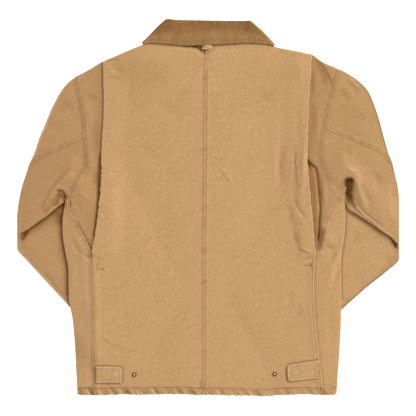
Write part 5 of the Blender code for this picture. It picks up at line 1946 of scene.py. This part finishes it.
class Jacket:
    """The whole jacket: its seams, pieces, stitches and snaps."""

    def __init__(self) -> None:
        """Makes the finishes."""
        self.duck = WashedDuck().material("washed_cotton_duck")
        self.corduroy = CutCorduroy().material("cut_pile_corduroy")
        self.thread = SpunThread().material("spun_sewing_thread")
        self.brass = AgedBrass().material("aged_stamped_brass")
        self.stitch_lines: dict[str, list[Array]] = {"body": [], "sleeves": [], "fronts": []}

    def seams(self, half: Half) -> dict[str, Seam]:
        """Lapped seams of one half."""
        sign = half.sign
        body = half.body["seam"]
        centre, armhole, arm, forearm = (
            even(line, np.linspace(0, 1, 60)) for line in (
                CENTRE_LAP, half.armhole_line, half.sleeve_seam[SEAM_START:SEAM_END + 1],
                half.sleeve["seam"][FOREARM_START:]))
        armhole = shifted(armhole, sign * half.armhole_lap)
        side = shifted(read(body, np.linspace(0, TIP + 0.001, 40)), -sign * half.side_lap)
        lower = shifted(read(body, np.linspace(TIP, len(body) - 1.0, 60)), -sign * half.felled_in)
        return {
            "centre": Seam(centre, 1.0, rows=(3.3 * MM, 6.6 * MM), width=8.4 * MM, beyond=0.1, corner_shade=0.3,
                           corner_shade_at=1.5 * MM, stitched=0.4, seed=5),
            "armhole": Seam(armhole, -sign, seed=11, band=0.1 if half is LEFT else 0.06, corner_shade=0.1),
            "side": Seam(side, sign, seed=12, corner_shade=0.16, stitched=0.55),
            "lower": FelledSeam(lower, sign, rows=half.felled_rows, width=10.6 * MM, rise=0.5 * MM,
                                band=0.05, beyond=0.1, corner_shade=0.34, stitched=0.3, seed=13),
            "arm": Seam(arm, sign, seed=14, rows=(3.0 * MM,), width=5 * MM, rise=0.5 * MM,
                        pucker=0.2 * MM, band=0.04, beyond=0.1, corner_shade=0.24, corner_shade_at=3.0 * MM,
                        stitched=0.5),
            "forearm": Seam(forearm, sign, seed=15, rows=(2.4 * MM,), width=4 * MM, rise=0.5 * MM,
                            pucker=0.2 * MM, band=0.0, beyond=0.0, corner_shade=0.05, stitched=0.3),
        }

    def build_half(self, half: Half) -> BackPanel:
        """Builds every duck piece of one half, from the table up, and lays its stitches."""
        seams = self.seams(half)
        pieces = {key: kind(half, seams, FOLDS[half.name][key], PIECE_TONES_AND_SHADE[half.name][key])
                  for key, kind in PANELS.items()}
        for piece in pieces.values():
            piece.sheet().build(self.duck, "duck")
        front, strip, back, top = (pieces[key] for key in ("wrap", "strip", "back", "top_sleeve"))
        placed = [("body", "armhole", strip.height), ("body", "side", front.height),
                  ("body", "lower", front.height), ("sleeves", "arm", top.height),
                  ("sleeves", "forearm", top.forearm_height)]
        if half is RIGHT:
            placed.append(("body", "centre", back.height))
        for zone, key, height in placed:
            self.stitch_lines[zone] += [on_cloth(line, height(line)) for line in seams[key].stitch_rows()]
        ends = half.body["seam"][-1, 0] - half.sign * 3 * MM, CENTRE_X + half.sign * 4 * MM
        hem_x = np.linspace(*ends, 60)
        hem = np.stack([hem_x, hem_y(hem_x) + HEM_DEPTH], axis=1)
        self.stitch_lines["body"].append(on_cloth(hem, back.height(hem)))
        self.stitch_front(half, front)
        return back

    def stitch_front(self, half: Half, front: FrontPanel) -> None:
        """Rows of stitches on the underside: front edge, facing and hem."""
        x, toward = half.front_edge_x, half.sign * MM
        for begin, end in (((x + toward * 6, 246 * MM), (x + toward * 6, -396 * MM)),
                           ((x + toward * 48, 242 * MM), (x + toward * 48, -388 * MM)),
                           ((x + toward * 8, HEM_Y + HEM_DEPTH),
                            (half.body["edge"][-1, 0] * 0.97, HEM_Y + HEM_DEPTH))):
            line = np.linspace(begin, end, 70)
            self.stitch_lines["fronts"].append(on_cloth(line, front.lower_height(line), -0.5 * DUCK_PLY))

    def build(self) -> None:
        """Builds the jacket in order; stitches, hem tabs and snap parts are logged as they are made."""
        backs = {half.name: self.build_half(half) for half in (LEFT, RIGHT)}
        Collar().build(self.corduroy, self.thread)
        HangerLoop(backs["right"]).build(self.duck, self.thread)
        tabs = (
            HemTab("hem_tab_left", mm((-241, -341), (-186, -343)), mm((-241, -377), (-185.5, -377)),
                   mm((-199, -359))[0], 0.24, backs["left"], 0.0),
            HemTab("hem_tab_right", mm((238, -328.5), (170, -338.5)), mm((240, -367), (171, -374)),
                   mm((187, -354))[0], 0.4, backs["right"], 0.22),
        )
        for tab in tabs:
            self.stitch_lines["body"] += tab.build(self.duck)
        for node, back in (("snap_stud_left", backs["left"]), ("snap_stud_right", backs["right"])):
            low, high = (np.array(corner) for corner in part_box(node))
            centre = 0.5 * (low + high)[None, :2]
            base = float(back.height(centre)[0] + 0.5 * DUCK_PLY + 0.05 * MM)
            TurnedMetal(node, STUD_PROFILE, base_height=base).build(self.brass)
        for number in range(1, 6):
            TurnedMetal(f"front_snap_{number}", CAP_PROFILE).build(self.brass)
        for zone, rows in self.stitch_lines.items():
            stitches("stitching_" + zone, rows, self.thread)


# How much darker than the middle of the back each piece is: partly the piece's own shade of washed cloth,
# partly painted shade where it slopes away from the light or lies low under others
PIECE_TONES_AND_SHADE = {
    "left": {"wrap": 0.09, "strip": 0.2, "back": 0.02, "top_sleeve": 0.2, "under_sleeve": 0.24,
             "forearm": 0.2},
    "right": {"wrap": 0.05, "strip": 0.19, "back": 0.01, "top_sleeve": 0.15, "under_sleeve": 0.14,
              "forearm": 0.02},
}

# Direction of the slubs in plan
SLEEVE_STREAKS = {"left": 25.0, "right": -25.0}
FOREARM_STREAKS = {"left": -60.0, "right": 60.0}

# Creases by half and piece, and lines of painted shade: rows with no rise paint shadow beside the upper
# arm's folded edge, along the body's edge and round the hem tabs, and the darkest rows paint the hollows
# at the
# underarms and under the collar. Each row: half width and rise in millimetres, soil_and_shade,
# wear_and_highlight, share of its length over which it dies away at each end, then x and y of its points
# in turn.
FOLDS = {
    "left": {
        "wrap": creases("""
6 -1.2 .16 0 .3  -299 -65 -286 -77 -278 -95 -264 -105
12 0 0 .24 .06  -262 -104 -260 -150 -258 -200 -257 -300 -255 -402
3.4 -.2 .7 0 .2  -284 -28 -277 -38 -266 -58 -253 -84 -248 -100
2.6 -.8 .5 0 .3  -265 -101 -258 -106 -251 -105
3 .9 0 .3 .3  -266 -112 -260 -115 -254 -112
3 .9 0 .2 .3  -277 -98 -270 -107 -262 -110
8 .8 0 .08 .3  -296 -95 -290 -140 -288 -190
8 -.8 .07 0 .3  -270 -190 -262 -240 -266 -300
"""),
        "strip": creases("""
6 -1.4 .3 0 .1  -232 120 -235 70 -236 30 -240 -20 -247 -70
9 -.8 .12 0 .3  -240 190 -242 160 -238 120
9 -1 .16 0 .3  -245 80 -244 62 -246 45
3 1 0 .3 .3  -277 38 -270 28 -260 18
8 -.8 .1 0 .3  -262 245 -250 235 -236 238
7 1.4 0 .1 .3  -256 130 -252 90 -256 50
7 1 0 .1 .3  -262 230 -256 190 -254 170
5 -.8 .12 0 .3  -285 18 -279 6 -270 -10
3 -1 .35 0 .3  -300 20 -296 8 -297 -2
"""),
        "back": creases("""
70 0 .13 0 .3  -210 330 -150 290 -90 260
45 0 .04 0 .3  -190 250 -170 150 -160 60
4 -.9 .25 0 .3  -224 312 -205 317 -188 318
3.4 1 0 .3 .3  -219 304 -207 291 -201 282
8 -.9 .2 0 .3  -203 303 -190 297 -178 288
5 -.6 .12 0 .3  -210 283 -200 278 -190 280
7 -1.5 .62 0 .2  -60 349 -40 347.5 -26 345 -15 338 -9 329
8 -.6 .5 0 .2  -36 350 -24 348 -14 346
3 -.4 .7 0 .2  -17 339.5 -15.5 345 -12 350
3 -.5 .6 0 .2  -8.6 343 -8 336 -7.6 328
5 1.3 0 .2 .3  -70 340 -40 340 -25 335.5 -16.5 327 -9 320
5 -.45 .09 0 .3  -236 -274 -209 -295 -184 -306 -150 -312
7 .4 0 .04 .3  -240 -268 -212 -284 -180 -294
1.6 -.6 .7 0 .15  -234 -132 -229 -132.5 -223 -132
5 -.8 .32 0 .3  -242 -118 -238 -128 -240 -140
3 .8 0 .3 .3  -221 -130 -218 -134 -216 -138
4 -.7 .2 0 .3  -246 -98 -240 -108 -232 -117
9 -.7 .08 0 .3  -150 130 -130 124 -112 120
7 .7 0 .06 .3  -120 118 -90 112 -60 118
12 -.8 .07 0 .3  -110 230 -90 215 -60 205
14 .9 0 .05 .3  -205 60 -200 -60 -205 -160
2 -.9 .5 0 .3  -17 -371 -17.3 -379 -17 -386
2.4 0 .62 0 .04  -240 -339.4 -212 -340 -185 -341.4
2.2 0 .45 0 .06  -183.6 -342 -183.4 -360 -184 -378
2.2 0 .36 0 .06  -240 -379 -212 -379.4 -185 -379
"""),
        "top_sleeve": creases("""
10 -.9 .06 0 .3  -330 210 -310 215 -292 225
8 .8 0 .05 .3  -345 180 -320 188 -292 196
8 .9 0 .06 .3  -290 262 -300 250 -312 232
"""),
        "under_sleeve": creases("""
4.5 -1.1 .16 0 .2  -296 84 -312 71 -328 53 -338 40 -347 22 -355 6 -358 -12
8 1.8 0 .16 .15  -288 76 -305 63 -320 48 -331 38 -340 22 -348 6 -352 -10
LEDGE 5 1.8 0 .25 .08  -327 37 -321 40 -313 39 -307 33 -303 22
2.8 -1.2 .9 0 .08  -326 36 -320 37 -313 35 -308 28 -304.5 19
7 -1.4 .6 0 .06  -324 32 -316 28 -309 18 -305 9
11 -.9 .46 0 .1  -322 28 -324 14 -328 2
9 -.3 .26 0 .2  -332 22 -338 8 -346 -6 -354 -16
4 -.4 .3 0 .3  -333 6 -331 4 -330 2
12 .9 0 .04 .3  -372 60 -380 20 -384 -10
10 .8 0 .06 .3  -300 112 -290 96 -290 76
"""),
        "forearm": creases("""
22 0 0 .12 .3  -345 -120 -330 -150 -310 -180
18 0 .42 0 .02  -300 18 -322 0 -349 -22 -375 -41 -411 -62
6 0 .3 0 .02  -300 18 -322 0 -349 -22 -375 -41 -411 -62
17 0 .42 0 .02  -306 12 -314 -38 -307 -91 -301 -130 -298 -190 -294 -220
20 -.5 .3 0 .3  -318 -8 -322 -22 -320 -40
4.5 -1.4 .6 0 .3  -387 -50 -396 -64 -402 -74
6 1 0 .08 .3  -384 -60 -390 -72 -394 -86
16 .8 0 .05 .3  -340 -100 -325 -130 -315 -165
"""),
    },
    "right": {
        "wrap": creases("""
11 -.3 .6 0 .2  249 -42 246 -54 241 -76 237 -94
7 1.5 0 .22 .2  294 -50 287 -87 281 -99 273 -121 266 -146 258 -164 249 -178
6 -1 .12 0 .3  286 -118 279 -140 271 -165
5 -1.5 .3 0 .3  251 -77 262 -84 273 -93
4.5 -.8 .2 0 .3  273 -93 271 -104 264 -112
6 1.4 0 .1 .3  246 -64 256 -66 270 -72
2.6 .9 0 .4 .3  238 -96 246 -100 252 -98
8 -.7 .06 0 .3  268 -180 262 -240 268 -310
"""),
        "strip": creases("""
LEDGE 9 1.2 .2 0 .2  224 318 241 311 250 301 258 287 265 272 272 257
12 -1.2 .26 0 .3  232 312 242 296 250 275 252 258
6 -.6 .2 0 .3  228 300 226 270 224 240
4.2 -2.4 .75 0 .06  213 108 219 94 231 85 236 62 240 16 241.5 -1 240 -24 238 -62 237 -78
8 0 .22 0 .1  222 96 227 50 230 0 232 -40 233 -75
3 -.6 .7 0 .2  215 100 217 90 222 82
6 1.6 0 .12 .3  250 70 249 20 253 0
6 -.8 .14 0 .3  226 230 225 190 222 150
5 .9 0 .08 .3  238 220 236 180 234 140
3 -.8 .3 0 .3  240 40 246 20 250 12
5 1 0 .12 .3  262 60 268 40 278 34
"""),
        "back": creases("""
60 0 .05 0 .3  200 300 120 260 40 230
3.4 -.5 .4 0 .3  9 349.5 12.5 346.5 13.5 342
3.4 -.6 .3 0 .3  12 349 24 349.5 40 350
2.6 -.5 .2 0 .3  18 88 34 68 48 50
5 .4 0 .06 .3  26 88 42 70 58 50
9 -1.3 .17 0 .3  161 140 157 104 156 80 160 40
5 -.5 .12 0 .3  154 100 156 90 159 80
9 .9 0 .07 .3  146 150 143 100 145 50
8 -1.1 .16 0 .3  186 150 189 102 188 48 189 -5
6 1 0 .1 .3  203 130 203 80 204 20
8 -1.1 .12 0 .3  187 -16 186 -50 186 -91
4 -1.2 .26 0 .3  187 22 190 8 196 -4 212 -26
8 -.9 .14 0 .3  176 6 178 -16 179 -40
7 -1.4 .22 0 .3  185 -56 194 -80 200 -104
3 1.2 0 .35 .3  195 -82 203 -89 212 -92 221 -97
3 -.9 .25 0 .3  197 -90 206 -96 216 -99
3.2 -.8 .22 0 .3  203 -111 214 -107 225 -108
2.4 1.4 0 .55 .2  200 -121 212 -118 225 -117.5
2.4 -1 .45 0 .2  203 -126 213 -124.5 226 -124
3 .8 0 .2 .3  210 -140 218 -134 226 -132
3.5 -.8 .3 0 .3  222 -112 221 -124 223 -138
10 -.9 .1 0 .3  168 -181 175 -192 181 -204
10 -1 .12 0 .3  192 -240 196 -222 204 -212
7 -.9 .1 0 .3  196 250 194 180 196 120
3 .8 0 .2 .3  206 300 200 288 196 274
5 1.2 0 .12 .3  208 180 206 100 209 40
8 -.8 .08 0 .3  110 250 120 235 138 225
2.4 0 .62 0 .04  236 -326.6 204 -331 169 -336.8
2.2 0 .5 0 .06  168.4 -338 168.4 -356 170 -374
2 0 .24 0 .06  171 -376.4 204 -373.4 236 -369.4
"""),
        "top_sleeve": creases("""
5 1.3 0 .3 .3  296 284 310 272 325 254
7 -.8 .08 0 .3  300 270 312 258 324 240
10 -.9 .12 0 .3  283 258 292 244 306 230
10 -.7 .06 0 .3  298 200 318 196 340 188
"""),
        "under_sleeve": creases("""
LEDGE 5 2.2 0 .25 .06  294 50 297 60 303 65.5 310 64 315 56 318 44
15 -.4 .72 0 .22  303 66 304 52 303 36 302 18 301 2
8 -1 .75 0 .2  298 60 298.5 48 299 36 299 22
7 -1.4 1.2 0 .06  296.5 55 300 60 306 60 311 55
6 -1.2 .4 0 .12  308 58 309 46 308 32
9 -1 .4 0 .12  306 30 310 16 318 0
6 1.6 0 .42 .12  292 89 306 83 316 75 323 64 322 53 329 30 339 0 342 -12
8 -.8 .08 0 .3  326 60 334 40 344 18 350 0
1.9 1 0 .5 .1  313 20 317 10 323 -3 335 -18 353 -32 370 -47 390 -62
2.2 -.9 .42 0 .14  317 22 322 11 328 -1 340 -14 357 -27 374 -41
4 -.6 .3 0 .3  307 10 313 0 322 -10 332 -19
6 1.5 0 .2 .3  296 72 304 80 318 80 330 70
11 -.8 .08 0 .3  283 128 296 120 312 118
11 -.9 .1 0 .3  360 78 364 62 368 44
9 1 0 .14 .3  385 60 392 20 393 -30
14 1 0 .1 .3  350 20 366 -10 384 -36
"""),
        "forearm": creases("""
6 0 .3 0 .02  296 6 314 -13 351 -37 370 -50 388 -62 411 -84
6 0 .4 0 .02  296 -12 296 -50 289 -92 286 -140 286 -200
3.2 1.4 .5 0 .1  391 -62 398 -76 411 -96
6 -.8 .5 0 .1  398 -68 404 -80 411 -90
14 .8 0 .06 .3  304 -24 322 -40 332 -52
8 -.8 .1 0 .3  328 -52 318 -66 310 -84
14 .8 0 .06 .3  360 -100 340 -130 318 -150
9 -.8 .08 0 .3  375 -96 384 -110 392 -118
"""),
    },
}


@dataclass(frozen=True)
class Studio:
    """White table, soft even light with a broad key from the upper right, camera straight above."""

    view_width: float = 0.8944
    lens: float = 300.0
    sensor: float = 36.0
    fill: float = 0.52
    key: float = 2.85
    key_direction: tuple = (0.72, 0.46, 0.62)
    key_spread: float = 34.0

    def build(self) -> None:
        """Adds the table, world, key light and camera."""
        scene = bpy.context.scene
        scene.view_settings.view_transform = "Standard"
        table_top = new_object("table", mm((-3000, -3000, -0.4), (3000, -3000, -0.4), (3000, 3000, -0.4),
                                           (-3000, 3000, -0.4)), np.array([[0, 1, 2, 3]]), self.paper())
        world = bpy.data.worlds.new("even_light")
        scene.world = world
        world.use_nodes = True
        feed(world.node_tree, world.node_tree.nodes["Background"],
             {"Color": (1.0, 0.99, 0.975, 1.0), "Strength": self.fill})
        lamp = bpy.data.lights.new("key", "SUN")
        lamp.energy = self.key
        lamp.angle = math.radians(self.key_spread)
        lamp.color = (1.0, 0.985, 0.96)
        holder = bpy.data.objects.new("key", lamp)
        scene.collection.objects.link(holder)
        toward = Vector(self.key_direction)
        holder.rotation_mode = "QUATERNION"
        holder.rotation_quaternion = toward.to_track_quat("Z", "Y")
        camera = bpy.data.cameras.new("camera")
        camera.lens = self.lens
        camera.sensor_width = self.sensor
        camera.clip_end = 100.0
        stand = bpy.data.objects.new("camera", camera)
        scene.collection.objects.link(stand)
        low, high = CAD_BOX
        distance = 0.5 * self.view_width / (0.5 * self.sensor / self.lens)
        stand.location = (0.5 * (low.x + high.x) - 0.1 * MM, 0.5 * (low.y + high.y) - 1.0 * MM,
                          distance + 0.5 * high.z)
        scene.camera = stand

    def paper(self) -> bpy.types.Material:
        """Backlit white acrylic, which shows no shadow: even white all over."""
        made = bpy.data.materials.new("backlit_acrylic")
        made.use_nodes = True
        feed(made.node_tree, made.node_tree.nodes["Principled BSDF"],
             {"Base Color": (0.8, 0.8, 0.8, 1.0), "Roughness": 0.9,
              "Emission Color": (1.0, 1.0, 1.0, 1.0), "Emission Strength": 1.0})
        return made


def main() -> None:
    """Builds the jacket and the studio."""
    Jacket().build()
    Studio().build()


if __name__ == "__main__":
    main()
